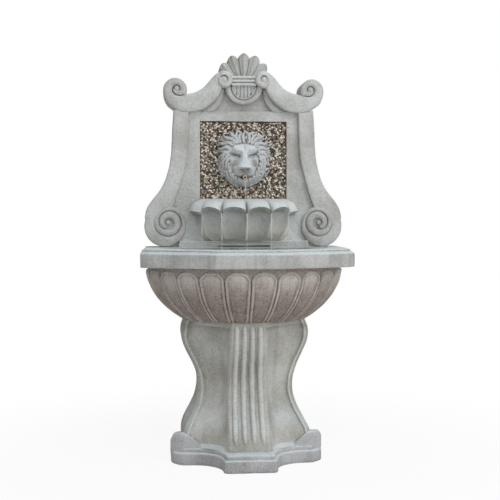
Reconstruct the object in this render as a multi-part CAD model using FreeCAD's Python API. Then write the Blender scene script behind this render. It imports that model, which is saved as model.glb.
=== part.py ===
import FreeCAD, Part
import math
import os

Vector = FreeCAD.Vector
os.makedirs("parts", exist_ok=True)

# A cast stone wall fountain, millimetres. X to the right, +Y towards the wall, Z up from the floor.
# Depths are measured forward from the wall, heights of the backsplash up from its foot.

# Clearances
fit = 0.05
loose_fit = 0.4
hose_gap = 5.0

# Plinth
plinth_height = 56.0
plinth_face_height = 41.0
plinth_step = 7.0
plinth_side = 251.0
plinth_depth = 375.0
plinth_centre_half = 87.0
plinth_centre_length = 22.0
plinth_scoop = 95.0
plinth_chamfer = 33.0

# Column, as stations: share of the height, half width, depth of the panel, depth of the wings
column_height = 410.0
column_stations = [
    (0.00, 214.0, 326.0, 236.0),
    (0.10, 211.0, 320.0, 230.0),
    (0.28, 175.5, 272.0, 188.0),
    (0.50, 160.5, 244.0, 162.0),
    (0.66, 176.5, 256.0, 158.0),
    (0.81, 207.0, 278.0, 152.0),
    (0.92, 214.0, 284.0, 148.0),
    (1.00, 203.0, 272.0, 140.0),
]
column_wall = 42.0
column_slot_half = 27.0
panel_step = 10.0
panel_margin = 6.0
rib_width = 14.0
rib_swell = 6.0
wing_chamfer = 14.0
reed_count = 4
reed_radius = 9.0
reed_pitch_top = 25.0
reed_pitch_foot = 30.6

# Basin
bowl_half = 334.0
bowl_reach = 285.0
bowl_curve = 233.0
bowl_height = 181.0
bowl_straight = 100.0
bowl_wall = 40.0
bowl_floor = 40.0
basin_back_wall = 30.0
gadroon_count = 12
gadroon_depth = 9.0
gadroon_top_band = 7.0
gadroon_band_lip = 2.0
gadroon_levels = (0, 0.16, 0.34, 0.54, 0.77, 1)
bowl_levels = (0, 0.2, 0.45, 0.7, 1)
rim_depth = 400.0
rim_height = 59.0
rim_face_height = 45.0
rim_bevel_height = 7.0
rim_half = 348.0
rim_facet_half = 113.5
rim_corner_chamfer = 25.0
rim_corner_depth = 298.0
rim_bevel = 10.0
rim_riser_inset = 13.0
opening_half = 285.0
opening_reach = 215.0
opening_straight = 5.0
ledge_depth = 115.0

# Backsplash
recess_half = 148.0
recess_rise = 164.0
recess_height = 263.5
recess_depth = 24.0
web_thickness = 20.0
channel_half = 21.0
channel_step = 18.0
channel_headroom = 49.0
channel_gap = 7.3
pilaster_proud = 18.0
arm_proud = 26.0
rail_proud = 28.0
rail_height = 21.0
weep_half = 88.0
weep_height = 5.0
volute_x = 267.0
volute_rise = 71.0
volute_radius = 70.5
volute_coil = 42.0
volute_eye = 17.0
coil_groove = 4.0
groove_depth = 6.0
pilaster_outer = [(238.0, 463.0), (249.0, 300.0), (281.0, 198.0), (322.0, 142.0)]
pilaster_inner = [(185.5, 457.0), (196.0, 285.0), (226.0, 171.0), (239.0, 136.0)]
arm_volute_x = 228.0
arm_volute_rise = 527.0
arm_volute_radius = 40.5
arm_upper = [(76.0, 595.0), (113.0, 564.0), (144.0, 534.0), (190.0, 518.0)]
arm_lower = [(263.0, 501.0), (237.0, 470.0), (194.0, 457.5), (134.0, 469.0), (84.0, 512.0), (64.0, 534.0)]
arm_bevel = 9.0
crest_volute_x = 62.0
crest_volute_rise = 563.0
crest_volute_radius = 29.0
field_right = [(255.0, 0.0), (262.0, 110.0), (240.0, 190.0), (210.0, 310.0), (205.0, 456.0), (80.0, 554.0)]
tympanum_half = 101.0
tympanum_rise = 461.0
tympanum_depth = 10.0
shield_half = 64.5
shield_rise = 482.5
shield_height = 61.5
shield_border = 15.0
shield_flutes = 5
shield_proud = 16.0
band_half = 37.3
band_reeds = 3
band_reed_radius = 5.7
petal_count = 5
petal_spread = 62.0
petal_half_width = 16.5
petal_proud = 12.0
petal_swell = 6.0
petal_lengths = [77.0, 80.5, 81.0]

# Pebble bed and mask
bed_thickness = 18.0
bed_gap = 0.4
mask_rise = 293.0
mask_half = 93.0
mask_height = 96.0
mask_taper = 0.24
mask_lobes = 17
mask_lobe_swell = 3.0
mask_depth = 80.0
mouth_drop = 58.0

# Mane: share of the depth and of the outline. Face: place across and up, share of the depth, half sizes
mane_profile = [(0.0, 0.94), (0.2, 1.0), (0.4, 0.86), (0.52, 0.62)]
face_lumps = {
    "cheeks": (0.0, -4.0, 0.36, 62.0, 34.0, 74.0),
    "brow": (0.0, 34.0, 0.52, 46.0, 17.0, 20.0),
    "nose": (0.0, -2.0, 0.62, 17.0, 18.0, 44.0),
    "muzzle": (0.0, -44.0, 0.66, 38.0, 27.0, 31.0),
    "chin": (0.0, -76.0, 0.40, 27.0, 18.0, 20.0),
}

# Shell shelf
shell_half = 180.0
shell_reach = 146.0
shell_lip_rise = 116.0
shell_lobes = 6
shell_foot_half = 128.0
shell_foot_reach = 34.0
shell_top_half = 138.0
shell_top_reach = 9.0
flute_sag = 0.10
lobe_sag = 0.08
cup_profile = ((0, 0), (0.35, 0.22), (0.72, 0.62), (1, 1))
dome_profile = ((0, 0), (0.5, 0.2), (0.85, 0.6), (1, 1))

# Pump
pump_margin = 1.0
pump_wall_gap = 7.0
pump_height = 60.0
cup_height = 10.0
cup_radius = 10.0
cup_stem = 3.0
cup_stem_length = 6.0
motor_length = 52.0
motor_bore = 13.0
rotor_gap = 1.0
motor_end = 8.0
cover_length = 24.0
cover_shell = 5.0
cover_bore = 19.0
cover_wall = 6.0
inlet_radius = 9.0
inlet_boss_wall = 1.4
inlet_bar = 3.0
shaft_radius = 2.0
bush_radius = 3.6
bush_length = 3.0
impeller_gap = 2.0
vane_count = 6
vane_thickness = 2.0
vane_height = 8.0
hub_radius = 5.0
plate_thickness = 2.5
strainer_length = 40.0
strainer_wall = 2.0
strainer_flange = 3.0
slot_width = 3.0
slot_count = 5
foam_gap = 0.4
foam_back_gap = 8.0
knob_radius = 11.0
knob_thickness = 5.0
knob_pin = 3.0
knob_rise = 16.0
knob_gap = 0.3
gland_radius = 6.0
gland_length = 12.0
cord_radius = 3.0

# Water line
hose_wall = 2.0
hose_bore = 6.0
nozzle_offset = 12.0
nozzle_wall = 1.5
nozzle_length = 24.0
clamp_height = 8.0
clamp_wall = 1.2
clip_height = 14.0
clip_half = 15.0
clip_wall = 3.0
elbow_radius = 9.0
elbow_barb = 30.0
elbow_cap = 1.5
barb_bore = 3.5
nipple_wall = 2.0
nipple_bore = 4.0
nipple_socket = 6.0
nipple_setback = 6.0
locknut_flats = 22.0
locknut_height = 7.0
washer_radius = 13.0
washer_thickness = 2.0
nut_gap = 1.0

# Drain, dowels and grommet
drain_depth = 170.0
drain_wall = 4.0
drain_bore = 10.0
drain_flange = 22.0
drain_flange_height = 4.0
gasket_thickness = 2.0
drain_thread = 14.0
drain_nut_flats = 40.0
drain_nut_height = 8.0
stopper_taper = 1.0
stopper_depth = 14.0
stopper_head = 15.0
stopper_head_height = 4.0
stopper_ring = 8.0
stopper_ring_wire = 2.0
dowel_radius = 7.0
dowel_length = 40.0
dowel_x = 215.0
dowel_depth = 60.0
grommet_radius = 11.0
grommet_flange = 15.0
grommet_flange_thickness = 3.0
grommet_x = 110.0
grommet_rise = 90.0

# Planes and sizes that follow
back_y = rim_depth / 2
front_y = -rim_depth / 2
hose_radius = hose_bore + hose_wall
nipple_radius = nipple_bore + nipple_wall
drain_radius = drain_bore + drain_wall
cover_radius = cover_bore + cover_shell
pump_half_depth = cover_radius + pump_margin
impeller_radius = cover_bore - impeller_gap
inlet_boss = bush_radius + inlet_boss_wall
elbow_depth = 2 * elbow_radius + elbow_cap + clamp_wall
elbow_drop = elbow_radius + elbow_cap
channel_depth = washer_thickness + locknut_height + nut_gap + elbow_depth + channel_gap
panel_front_depth = channel_depth + web_thickness + recess_depth
pilaster_depth = panel_front_depth + pilaster_proud
arm_depth = panel_front_depth + arm_proud
rail_depth = panel_front_depth + rail_proud
shield_depth = panel_front_depth + shield_proud
petal_depth = panel_front_depth + petal_proud
spout_rise = mask_rise - mouth_drop
channel_low_rise = recess_rise - channel_step
channel_top_rise = spout_rise + channel_headroom
plinth_top = plinth_height
column_top = plinth_top + column_height
rim_bottom = column_top + bowl_height
rim_top = rim_bottom + rim_height
rim_corner_half = rim_half - rim_corner_chamfer
floor_z = column_top + bowl_floor
basin_back = back_y - basin_back_wall
bowl_y = back_y - bowl_straight
field_y = back_y - panel_front_depth
bed_front = field_y + recess_depth - bed_thickness
web_back = field_y + recess_depth + web_thickness
spout_z = rim_top + spout_rise
mask_z = rim_top + mask_rise
mask_front = bed_front - mask_depth


# Helpers
def edge(a, b):
    return Part.LineSegment(a, b).toShape()


def bowed(a, b, sag, towards):
    """Arc from a to b whose middle stands sag away from the chord, on the side of the point towards."""
    middle = (a + b) * 0.5
    across = (b - a).cross(Vector(0, 0, 1))
    across.normalize()
    if across.dot(towards - middle) < 0:
        across = across * -1
    return Part.Arc(a, middle + across * sag, b).toShape()


def polyline(points):
    return Part.makePolygon(points + points[:1])


def solid_of(wire, direction):
    return Part.Face(wire).extrude(direction)


def loft(wires, ruled=False):
    return Part.makeLoft(wires, True, ruled)


def box(x0, x1, y0, y1, z0, z1):
    return Part.makeBox(x1 - x0, y1 - y0, z1 - z0, Vector(x0, y0, z0))


def rod(radius, start, end):
    axis = end - start
    return Part.makeCylinder(radius, axis.Length, start, axis)


def tube(radius, bore, start, end):
    return rod(radius, start, end).cut(rod(bore, start, end))


def mirrored(shape):
    return shape.mirror(Vector(0, 0, 0), Vector(1, 0, 0))


def joined(shapes):
    return shapes[0].multiFuse(shapes[1:])


def fused(shapes):
    return joined(shapes).removeSplitter()


def ellipsoid(centre, rx, ry, rz):
    matrix = FreeCAD.Matrix()
    matrix.scale(rx, ry, rz)
    ball = Part.makeSphere(1.0).transformGeometry(matrix)
    ball.translate(centre)
    return ball


def ellipse_at(centre, first, second):
    """Ellipse with the two half axes given, the longer one first or second."""
    if first.Length < second.Length:
        first, second = second, first
    return Part.Ellipse(centre + first, centre + second, centre)


def hexagon(flats, start, end):
    """Hexagonal prism between two points on a Y or Z axis."""
    axis = end - start
    reach = flats / math.sqrt(3)
    side = Vector(1, 0, 0)
    other = axis.cross(side)
    other.normalize()
    corners = []
    for index in range(6):
        angle = math.radians(60 * index + 30)
        corners.append(start + side * (reach * math.cos(angle)) + other * (reach * math.sin(angle)))
    return solid_of(polyline(corners), axis)


def export(name, shape):
    shape.exportStep("parts/%s.step" % name)


# Plinth
def plinth_plan(z, inset):
    """Projecting centre, quarter-circle scoops, chamfered outer corners, flat back."""
    front = back_y - plinth_depth + inset
    half = plinth_centre_half - inset
    scoop_y = back_y - plinth_depth + plinth_centre_length
    wing = plinth_centre_half + plinth_scoop
    wing_y = scoop_y + plinth_scoop + inset
    side = plinth_side - inset
    corner = side - plinth_chamfer
    edges = []
    for sign in (1, -1):
        points = [
            Vector(0, front, z),
            Vector(sign * half, front, z),
            Vector(sign * half, scoop_y, z),
            Vector(sign * wing, wing_y, z),
            Vector(sign * corner, wing_y, z),
            Vector(sign * side, wing_y + plinth_chamfer, z),
            Vector(sign * side, back_y, z),
        ]
        chord = (points[3] - points[2]).Length
        inward = Vector(0, back_y, z)
        right = [edge(points[0], points[1]), edge(points[1], points[2])]
        right.append(bowed(points[2], points[3], chord * (math.sqrt(2) - 1) / 2, inward))
        right += [edge(points[i], points[i + 1]) for i in range(3, 6)]
        edges += right
    edges.append(edge(Vector(plinth_side - inset, back_y, z), Vector(inset - plinth_side, back_y, z)))
    return Part.Wire(Part.__sortEdges__(edges))


def make_plinth():
    face = solid_of(plinth_plan(0, 0), Vector(0, 0, plinth_face_height))
    step_height = plinth_height - plinth_face_height
    step = solid_of(plinth_plan(plinth_face_height, plinth_step), Vector(0, 0, step_height))
    return fused([face, step])


# Column
def reed_pitch(share):
    return reed_pitch_foot + (reed_pitch_top - reed_pitch_foot) * share


def column_plan(station):
    share, side, panel_depth, wing_depth = station
    z = plinth_top + share * column_height
    panel_y = back_y - panel_depth
    wing_y = back_y - wing_depth
    half = reed_pitch(share) * reed_count / 2 + panel_margin
    rib_x = side - wing_chamfer - rib_width
    ahead = Vector(0, panel_y - column_height, z)
    behind = Vector(0, back_y, z)
    edges = []
    for sign in (1, -1):
        points = [
            Vector(0, panel_y, z),
            Vector(sign * half, panel_y, z),
            Vector(sign * half, panel_y + panel_step, z),
            Vector(sign * rib_x, wing_y, z),
            Vector(sign * (rib_x + rib_width), wing_y, z),
            Vector(sign * side, wing_y + wing_chamfer, z),
            Vector(sign * side, back_y, z),
        ]
        chord = (points[3] - points[2]).Length
        part = [edge(points[0], points[1]), edge(points[1], points[2])]
        part.append(bowed(points[2], points[3], chord * (math.sqrt(2) - 1) / 2, behind))
        part.append(bowed(points[3], points[4], rib_swell, ahead))
        part += [edge(points[4], points[5]), edge(points[5], points[6])]
        edges.append(part)
    back = edge(Vector(-side, back_y, z), Vector(side, back_y, z))
    left = [item.reversed() for item in reversed(edges[1])]
    return Part.Wire(edges[0] + [back] + left)


def column_hollow(station):
    """T-shaped hollow: a wide chamber open at the back and a slot behind the centre panel."""
    share, side, panel_depth, wing_depth = station
    z = plinth_top + share * column_height
    wide = side - column_wall
    slot = column_slot_half
    shoulder = back_y - wing_depth + column_wall
    slot_y = back_y - panel_depth + column_wall
    right = [(slot, slot_y), (slot, shoulder), (wide, shoulder), (wide, back_y)]
    outline = right + [(-x, y) for x, y in reversed(right)]
    return polyline([Vector(x, y, z) for x, y in outline])


def reed(index):
    path = []
    for share, _, panel_depth, _ in column_stations[1:-1]:
        offset = (index - (reed_count - 1) / 2) * reed_pitch(share)
        path.append(Vector(offset, back_y - panel_depth, plinth_top + share * column_height))
    curve = Part.BSplineCurve()
    curve.interpolate(path)
    spine = Part.Wire(curve.toShape())
    circle = Part.Circle(path[0], curve.tangent(curve.FirstParameter)[0], reed_radius).toShape()
    return spine.makePipeShell([Part.Wire(circle)], True, False)


def make_column():
    body = loft([column_plan(station) for station in column_stations])
    body = fused([body] + [reed(index) for index in range(reed_count)])
    return body.cut(loft([column_hollow(station) for station in column_stations]))


# Basin
def bowl_share(z, curve):
    """Width of the bowl's quarter ellipse at height z, as a share of its width at the rim."""
    return math.sqrt(1 - ((rim_bottom - z) / curve) ** 2)


def oval(z, half, reach, centre_y, end_y):
    """Half ellipse to the front with straight sides back to end_y."""
    start = Vector(-half, centre_y, z)
    finish = Vector(half, centre_y, z)
    ellipse = ellipse_at(Vector(0, centre_y, z), Vector(half, 0, 0), Vector(0, -reach, 0))
    arc = Part.ArcOfEllipse(ellipse, ellipse.parameter(start), ellipse.parameter(finish)).toShape()
    if arc.CenterOfMass.y > centre_y:
        arc = Part.ArcOfEllipse(ellipse, ellipse.parameter(finish), ellipse.parameter(start)).toShape()
    sides = [
        edge(finish, Vector(half, end_y, z)),
        edge(Vector(half, end_y, z), Vector(-half, end_y, z)),
        edge(Vector(-half, end_y, z), start),
    ]
    return Part.Wire(Part.__sortEdges__([arc] + sides))


def gadrooned(z):
    """Bowl section with a bulging arc for each gadroon round the front half."""
    share = bowl_share(z, bowl_curve)
    half = bowl_half * share
    reach = bowl_reach * share

    def on_oval(angle, inset):
        return Vector((half - inset) * math.cos(angle), bowl_y - (reach - inset) * math.sin(angle), z)

    step = math.pi / gadroon_count
    edges = []
    for index in range(gadroon_count):
        start = on_oval(index * step, gadroon_depth)
        middle = on_oval((index + 0.5) * step, 0)
        finish = on_oval((index + 1) * step, gadroon_depth)
        edges.append(Part.Arc(start, middle, finish).toShape())
    side = half - gadroon_depth
    edges.append(edge(Vector(-side, bowl_y, z), Vector(-side, back_y, z)))
    edges.append(edge(Vector(-side, back_y, z), Vector(side, back_y, z)))
    edges.append(edge(Vector(side, back_y, z), Vector(side, bowl_y, z)))
    return Part.Wire(edges)


def rim_plan(z, inset):
    """Five-sided front with small corner chamfers, drawn in about the middle of the back."""
    share = 1 - inset / rim_half
    corner_y = back_y - rim_corner_depth
    right = [
        (rim_facet_half, front_y),
        (rim_corner_half, corner_y),
        (rim_half, corner_y + rim_corner_chamfer),
        (rim_half, back_y),
    ]
    outline = right + [(-x, y) for x, y in reversed(right)]
    return polyline([Vector(x * share, back_y + (y - back_y) * share, z) for x, y in outline])


def make_basin(water_hole):
    band_z = rim_bottom - gadroon_top_band
    levels = [column_top + (band_z - column_top) * share for share in gadroon_levels]
    bowl = loft([gadrooned(z) for z in levels])
    share = bowl_share(band_z, bowl_curve)
    lip = gadroon_band_lip
    band_wire = oval(band_z, bowl_half * share + lip, bowl_reach * share + lip, bowl_y, back_y)
    band = solid_of(band_wire, Vector(0, 0, gadroon_top_band))
    face_top = rim_bottom + rim_face_height
    bevel_top = face_top + rim_bevel_height
    face = solid_of(rim_plan(rim_bottom, 0), Vector(0, 0, rim_face_height))
    bevel = loft([rim_plan(face_top, 0), rim_plan(bevel_top, rim_bevel)], True)
    riser = solid_of(rim_plan(bevel_top, rim_riser_inset), Vector(0, 0, rim_top - bevel_top))
    body = fused([bowl, band, face, bevel, riser])
    inner_half = bowl_half - bowl_wall
    inner_reach = bowl_reach - bowl_wall
    inner_curve = bowl_curve - bowl_wall
    depth = rim_bottom - floor_z
    sections = []
    for share in bowl_levels:
        z = floor_z + depth * share
        width = bowl_share(z, inner_curve)
        sections.append(oval(z, inner_half * width, inner_reach * width, bowl_y, basin_back))
    body = body.cut(loft(sections))
    opening_back = back_y - ledge_depth
    opening = oval(rim_bottom, opening_half, opening_reach, opening_back - opening_straight, opening_back)
    body = body.cut(solid_of(opening, Vector(0, 0, rim_height)))
    holes = [water_hole]
    holes.append(rod(drain_radius + loose_fit, drain_at(column_top), drain_at(floor_z)))
    holes += [dowel(sign, fit) for sign in (1, -1)]
    grommet = Vector(grommet_x, basin_back, floor_z + grommet_rise)
    holes.append(rod(grommet_radius + fit, grommet, grommet + Vector(0, basin_back_wall, 0)))
    return body.cut(holes)


def dowel(sign, gap):
    low = Vector(sign * dowel_x, back_y - dowel_depth, rim_top - dowel_length / 2 - gap)
    return rod(dowel_radius + gap, low, low + Vector(0, 0, dowel_length + 2 * gap))


# Backsplash
def in_panel(point, depth):
    x, rise = point
    return Vector(x, back_y - depth, rim_top + rise)


def spline(points, depth):
    curve = Part.BSplineCurve()
    curve.interpolate([in_panel(point, depth) for point in points])
    return curve.toShape()


def relief(edges, depth):
    """Solid from a front outline back to the wall plane."""
    return solid_of(Part.Wire(edges), Vector(0, depth, 0))


def disc(x, rise, radius, depth):
    return rod(radius, in_panel((x, rise), depth), in_panel((x, rise), 0))


def coil_grooves(x, rise, radii, depth):
    """Ring grooves in the face of a scroll's end."""
    rings = []
    for radius in radii:
        start = in_panel((x, rise), depth)
        rings.append(tube(radius, radius - coil_groove, start, start + Vector(0, groove_depth, 0)))
    return rings


def make_pilaster():
    outer = pilaster_outer + [(volute_x + volute_radius, volute_rise)]
    inner = list(reversed(pilaster_inner))
    edges = [
        spline(outer, pilaster_depth),
        edge(in_panel(outer[-1], pilaster_depth), in_panel(inner[0], pilaster_depth)),
        spline(inner, pilaster_depth),
        edge(in_panel(inner[-1], pilaster_depth), in_panel(outer[0], pilaster_depth)),
    ]
    return fused([relief(edges, pilaster_depth), disc(volute_x, volute_rise, volute_radius, pilaster_depth)])


def make_arm():
    """Scroll arm with bevelled edges between its end volute and the crest volute."""
    end = (arm_volute_x, arm_volute_rise)
    tip = (arm_volute_x + arm_volute_radius, arm_volute_rise)
    root = (crest_volute_x, crest_volute_rise)
    lower = [tip] + arm_lower
    corners = [arm_upper[-1], end, tip]
    edges = [spline(arm_upper, arm_depth)]
    edges += [edge(in_panel(a, arm_depth), in_panel(b, arm_depth)) for a, b in zip(corners, corners[1:])]
    edges.append(spline(lower, arm_depth))
    closing = [lower[-1], root, arm_upper[0]]
    edges += [edge(in_panel(a, arm_depth), in_panel(b, arm_depth)) for a, b in zip(closing, closing[1:])]
    body = relief(edges, arm_depth)
    front = back_y - arm_depth
    long_edges = [item for item in body.Edges if item.BoundBox.YMax < front + fit and item.Length > arm_depth]
    body = body.makeChamfer(arm_bevel, long_edges)
    ends = [disc(arm_volute_x, arm_volute_rise, arm_volute_radius, arm_depth)]
    ends.append(disc(crest_volute_x, crest_volute_rise, crest_volute_radius, arm_depth))
    return fused([body] + ends)


def make_petal(index):
    """Petal of the crest: an ellipse leaning out, with a raised smaller one on it."""
    lean = petal_spread * (index - (petal_count - 1) / 2) / ((petal_count - 1) / 2)
    length = petal_lengths[abs(index - (petal_count - 1) // 2)] / 2
    foot = band_top_rise()
    angle = math.radians(lean)
    direction = Vector(math.sin(angle), 0, math.cos(angle))
    across = Vector(math.cos(angle), 0, -math.sin(angle))
    solids = []
    for inset, depth in ((0, petal_depth), (petal_swell, petal_depth + petal_swell)):
        centre = in_panel((0, foot), depth) + direction * length
        ellipse = ellipse_at(centre, direction * (length - inset), across * (petal_half_width - inset))
        solids.append(solid_of(Part.Wire(ellipse.toShape()), Vector(0, depth, 0)))
    return fused(solids)


def band_top_rise():
    return shield_rise + shield_height + band_reeds * band_reed_radius * 2


def make_shield():
    """Half-round shield with a plain border round vertical flutes."""
    low = shield_rise + shield_height
    shapes = []
    centre = in_panel((0, low), shield_depth)
    below = box(-shield_half, shield_half, centre.y, back_y, centre.z - shield_height, centre.z)
    for inset in (0, shield_border):
        ellipse = ellipse_at(centre, Vector(shield_half - inset, 0, 0), Vector(0, 0, shield_height - inset))
        whole = solid_of(Part.Wire(ellipse.toShape()), Vector(0, shield_depth, 0))
        shapes.append(whole.common(below))
    flute = (shield_half - shield_border) / shield_flutes
    flutes = []
    for index in range(shield_flutes):
        x = (2 * index + 1 - shield_flutes) * flute
        start = in_panel((x, shield_rise), shield_depth)
        flutes.append(rod(flute - coil_groove / 2, start, start + Vector(0, 0, shield_height)))
    return shapes[0].cut(fused(flutes).common(shapes[1]))


def make_band():
    low = shield_rise + shield_height
    reeds = []
    for index in range(band_reeds):
        rise = low + (2 * index + 1) * band_reed_radius
        start = in_panel((-band_half, rise), shield_depth)
        reeds.append(rod(band_reed_radius, start, start + Vector(2 * band_half, 0, 0)))
    z = rim_top + low
    block = box(-band_half, band_half, back_y - shield_depth, back_y, z, rim_top + band_top_rise())
    return fused([block] + reeds)


def make_backsplash(spout_hole):
    field = field_right + [(0, band_top_rise())] + [(-x, rise) for x, rise in reversed(field_right)]
    front = polyline([in_panel(point, panel_front_depth) for point in field])
    body = solid_of(front, Vector(0, panel_front_depth, 0)).cut(tympanum())
    rail = box(-volute_x, volute_x, back_y - rail_depth, back_y, rim_top, rim_top + rail_height)
    sides = []
    for shape in (make_pilaster(), make_arm()):
        sides += [shape, mirrored(shape)]
    petals = [make_petal(index) for index in range(petal_count)]
    body = joined([body, rail] + sides + petals + [make_shield(), make_band()])
    low = rim_top + recess_rise
    floor_y = field_y + recess_depth
    cuts = [spout_hole, box(-recess_half, recess_half, field_y, floor_y, low, low + recess_height)]
    for sign in (1, -1):
        cuts += coil_grooves(sign * volute_x, volute_rise, (volute_coil, volute_eye), pilaster_depth)
        cuts += coil_grooves(sign * arm_volute_x, arm_volute_rise, (arm_volute_radius / 2,), arm_depth)
        cuts += coil_grooves(sign * crest_volute_x, crest_volute_rise, (crest_volute_radius / 2,), arm_depth)
        cuts.append(dowel(sign, fit))
    step_z = rim_top + channel_low_rise
    deep_y = hose_low_y - hose_radius - hose_gap
    cuts.append(box(-channel_half, channel_half, deep_y, back_y, rim_top, step_z))
    cuts.append(box(-channel_half, channel_half, web_back, back_y, step_z, rim_top + channel_top_rise))
    weep_z = rim_top + weep_height
    cuts.append(box(-weep_half, weep_half, back_y - rail_depth, hose_low_y, rim_top, weep_z))
    return body.cut(cuts)


def tympanum():
    """Shallow hollow under the scroll arms with bowed sides."""
    top = shield_rise + shield_height
    low_left = in_panel((-tympanum_half, tympanum_rise), panel_front_depth)
    low_right = in_panel((tympanum_half, tympanum_rise), panel_front_depth)
    top_right = in_panel((shield_half, top), panel_front_depth)
    top_left = in_panel((-shield_half, top), panel_front_depth)
    middle = (low_right + top_right) * 0.5 - Vector(tympanum_depth, 0, tympanum_depth)
    right = Part.Arc(low_right, middle, top_right).toShape()
    left_middle = Vector(-middle.x, middle.y, middle.z)
    left = Part.Arc(top_left, left_middle, low_left).toShape()
    wire = Part.Wire([edge(low_left, low_right), right, edge(top_right, top_left), left])
    return solid_of(wire, Vector(0, tympanum_depth, 0))


# Pebble bed, mask and shell
def make_pebble_bed(spout_hole):
    low = rim_top + recess_rise + bed_gap
    high = rim_top + recess_rise + recess_height - bed_gap
    half = recess_half - bed_gap
    return box(-half, half, bed_front, bed_front + bed_thickness, low, high).cut(spout_hole)


def mane_outline(y, share):
    """Closed curve round the mask with a wave for each lock of the mane."""
    points = []
    count = mask_lobes * 4
    for index in range(count):
        angle = 2 * math.pi * index / count
        wave = mask_lobe_swell * math.cos(mask_lobes * angle)
        narrowing = 1 - mask_taper * (0.5 - 0.5 * math.cos(angle)) ** 2
        x = (mask_half + wave) * share * narrowing * math.sin(angle)
        points.append(Vector(x, y, mask_z + (mask_height + wave) * share * math.cos(angle)))
    curve = Part.BSplineCurve()
    curve.interpolate(points, PeriodicFlag=True)
    return Part.Wire(curve.toShape())


def make_mask(spout_hole):
    """Mane as a loft of wavy outlines, with the lumps of the face joined to it, flat at the back."""
    mane = loft([mane_outline(bed_front - mask_depth * deep, share) for deep, share in mane_profile])
    lumps = []
    for x, rise, deep, *half_sizes in face_lumps.values():
        lumps.append(ellipsoid(Vector(x, bed_front - mask_depth * deep, mask_z + rise), *half_sizes))
    reach = mask_half + mask_height
    ahead = box(-reach, reach, mask_front - mask_depth, bed_front, mask_z - reach, mask_z + reach)
    return joined([mane] + lumps).common(ahead).cut(spout_hole)


def scallop(z, half, reach, sag):
    """Half ellipse cut into arcs, bulging for sag over zero and fluted for sag under zero."""
    step = math.pi / shell_lobes
    centre = Vector(0, field_y, z)
    corners = []
    for index in range(shell_lobes + 1):
        angle = index * step
        corners.append(Vector(half * math.cos(angle), field_y - reach * math.sin(angle), z))
    edges = []
    for a, b in zip(corners, corners[1:]):
        middle = (a + b) * 0.5
        away = middle - centre
        target = middle + away if sag > 0 else centre
        edges.append(bowed(a, b, abs(sag) * (b - a).Length, target))
    edges.append(edge(corners[-1], corners[0]))
    return Part.Wire(edges)


def make_shell():
    lip = rim_top + shell_lip_rise
    foot = rim_top + rail_height
    top = rim_top + recess_rise
    cup = []
    for share, spread in cup_profile:
        half = shell_foot_half + (shell_half - shell_foot_half) * spread
        reach = shell_foot_reach + (shell_reach - shell_foot_reach) * spread
        cup.append(scallop(foot + (lip - foot) * share, half, reach, -flute_sag))
    dome = []
    for share, spread in dome_profile:
        half = shell_half + (shell_top_half - shell_half) * spread
        reach = shell_reach + (shell_top_reach - shell_reach) * spread
        dome.append(scallop(lip + (top - lip) * share, half, reach, lobe_sag))
    return loft(cup).fuse(loft(dome))


# Pump, with its axis along X
pump_y = basin_back - pump_wall_gap - pump_half_depth
pump_base = floor_z + cup_height
pump_z = pump_base + pump_height / 2
cover_x = -cover_length + cover_wall
motor_x = cover_wall
motor_end_x = motor_x + motor_length
nozzle_y = pump_y + nozzle_offset
nozzle_x = cover_x / 2
nozzle_base = pump_base + pump_height
hose_low_y = nozzle_y
hose_high_y = web_back + washer_thickness + locknut_height + nut_gap + elbow_radius + clamp_wall


def on_axis(x):
    return Vector(x, pump_y, pump_z)


def cup_places():
    for x in (motor_x + cup_radius, motor_end_x - cup_radius):
        for y in (pump_y - pump_half_depth / 2, pump_y + pump_half_depth / 2):
            yield Vector(x, y, floor_z)


def make_motor_housing():
    y0 = pump_y - pump_half_depth
    y1 = pump_y + pump_half_depth
    body = box(motor_x, motor_end_x, y0, y1, pump_base, pump_base + pump_height)
    along = [item for item in body.Edges if item.BoundBox.XLength > motor_length / 2]
    body = body.makeFillet(pump_half_depth / 4, along)
    cavity_end = motor_end_x - motor_end
    cuts = [rod(motor_bore, on_axis(motor_x), on_axis(cavity_end))]
    cuts.append(rod(bush_radius + fit, on_axis(cavity_end), on_axis(cavity_end + bush_length)))
    for place in cup_places():
        start = Vector(place.x, place.y, pump_base)
        cuts.append(rod(cup_stem + fit, start, start + Vector(0, 0, cup_stem_length + fit)))
    return body.cut(cuts)


def make_volute_cover():
    """Round chamber, square flange for the strainer, inlet spider and the upright outlet nozzle."""
    y0 = pump_y - pump_half_depth
    y1 = pump_y + pump_half_depth
    top = pump_base + pump_height
    body = rod(cover_radius, on_axis(cover_x), on_axis(motor_x))
    flange = box(cover_x, cover_x + strainer_flange, y0, y1, pump_base, top)
    outlet = Vector(nozzle_x, nozzle_y, pump_z)
    nozzle_top = Vector(nozzle_x, nozzle_y, nozzle_base + nozzle_length)
    riser = rod(hose_radius, outlet, Vector(nozzle_x, nozzle_y, nozzle_base))
    barb = rod(hose_bore - fit, outlet, nozzle_top)
    body = fused([body, flange, riser, barb])
    inlet_x = cover_x + cover_wall
    cuts = [rod(cover_bore, on_axis(inlet_x), on_axis(motor_x))]
    cuts.append(rod(inlet_radius, on_axis(cover_x), on_axis(inlet_x)))
    cuts.append(rod(hose_bore - fit - nozzle_wall, outlet, nozzle_top))
    body = body.cut(cuts)
    boss = rod(inlet_boss, on_axis(cover_x), on_axis(inlet_x))
    bar_y = inlet_radius + fit
    bar_z = inlet_bar / 2
    bar = box(cover_x, inlet_x, pump_y - bar_y, pump_y + bar_y, pump_z - bar_z, pump_z + bar_z)
    pocket = rod(bush_radius + fit, on_axis(inlet_x - bush_length), on_axis(inlet_x))
    return fused([body, boss, bar]).cut(pocket)


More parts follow.
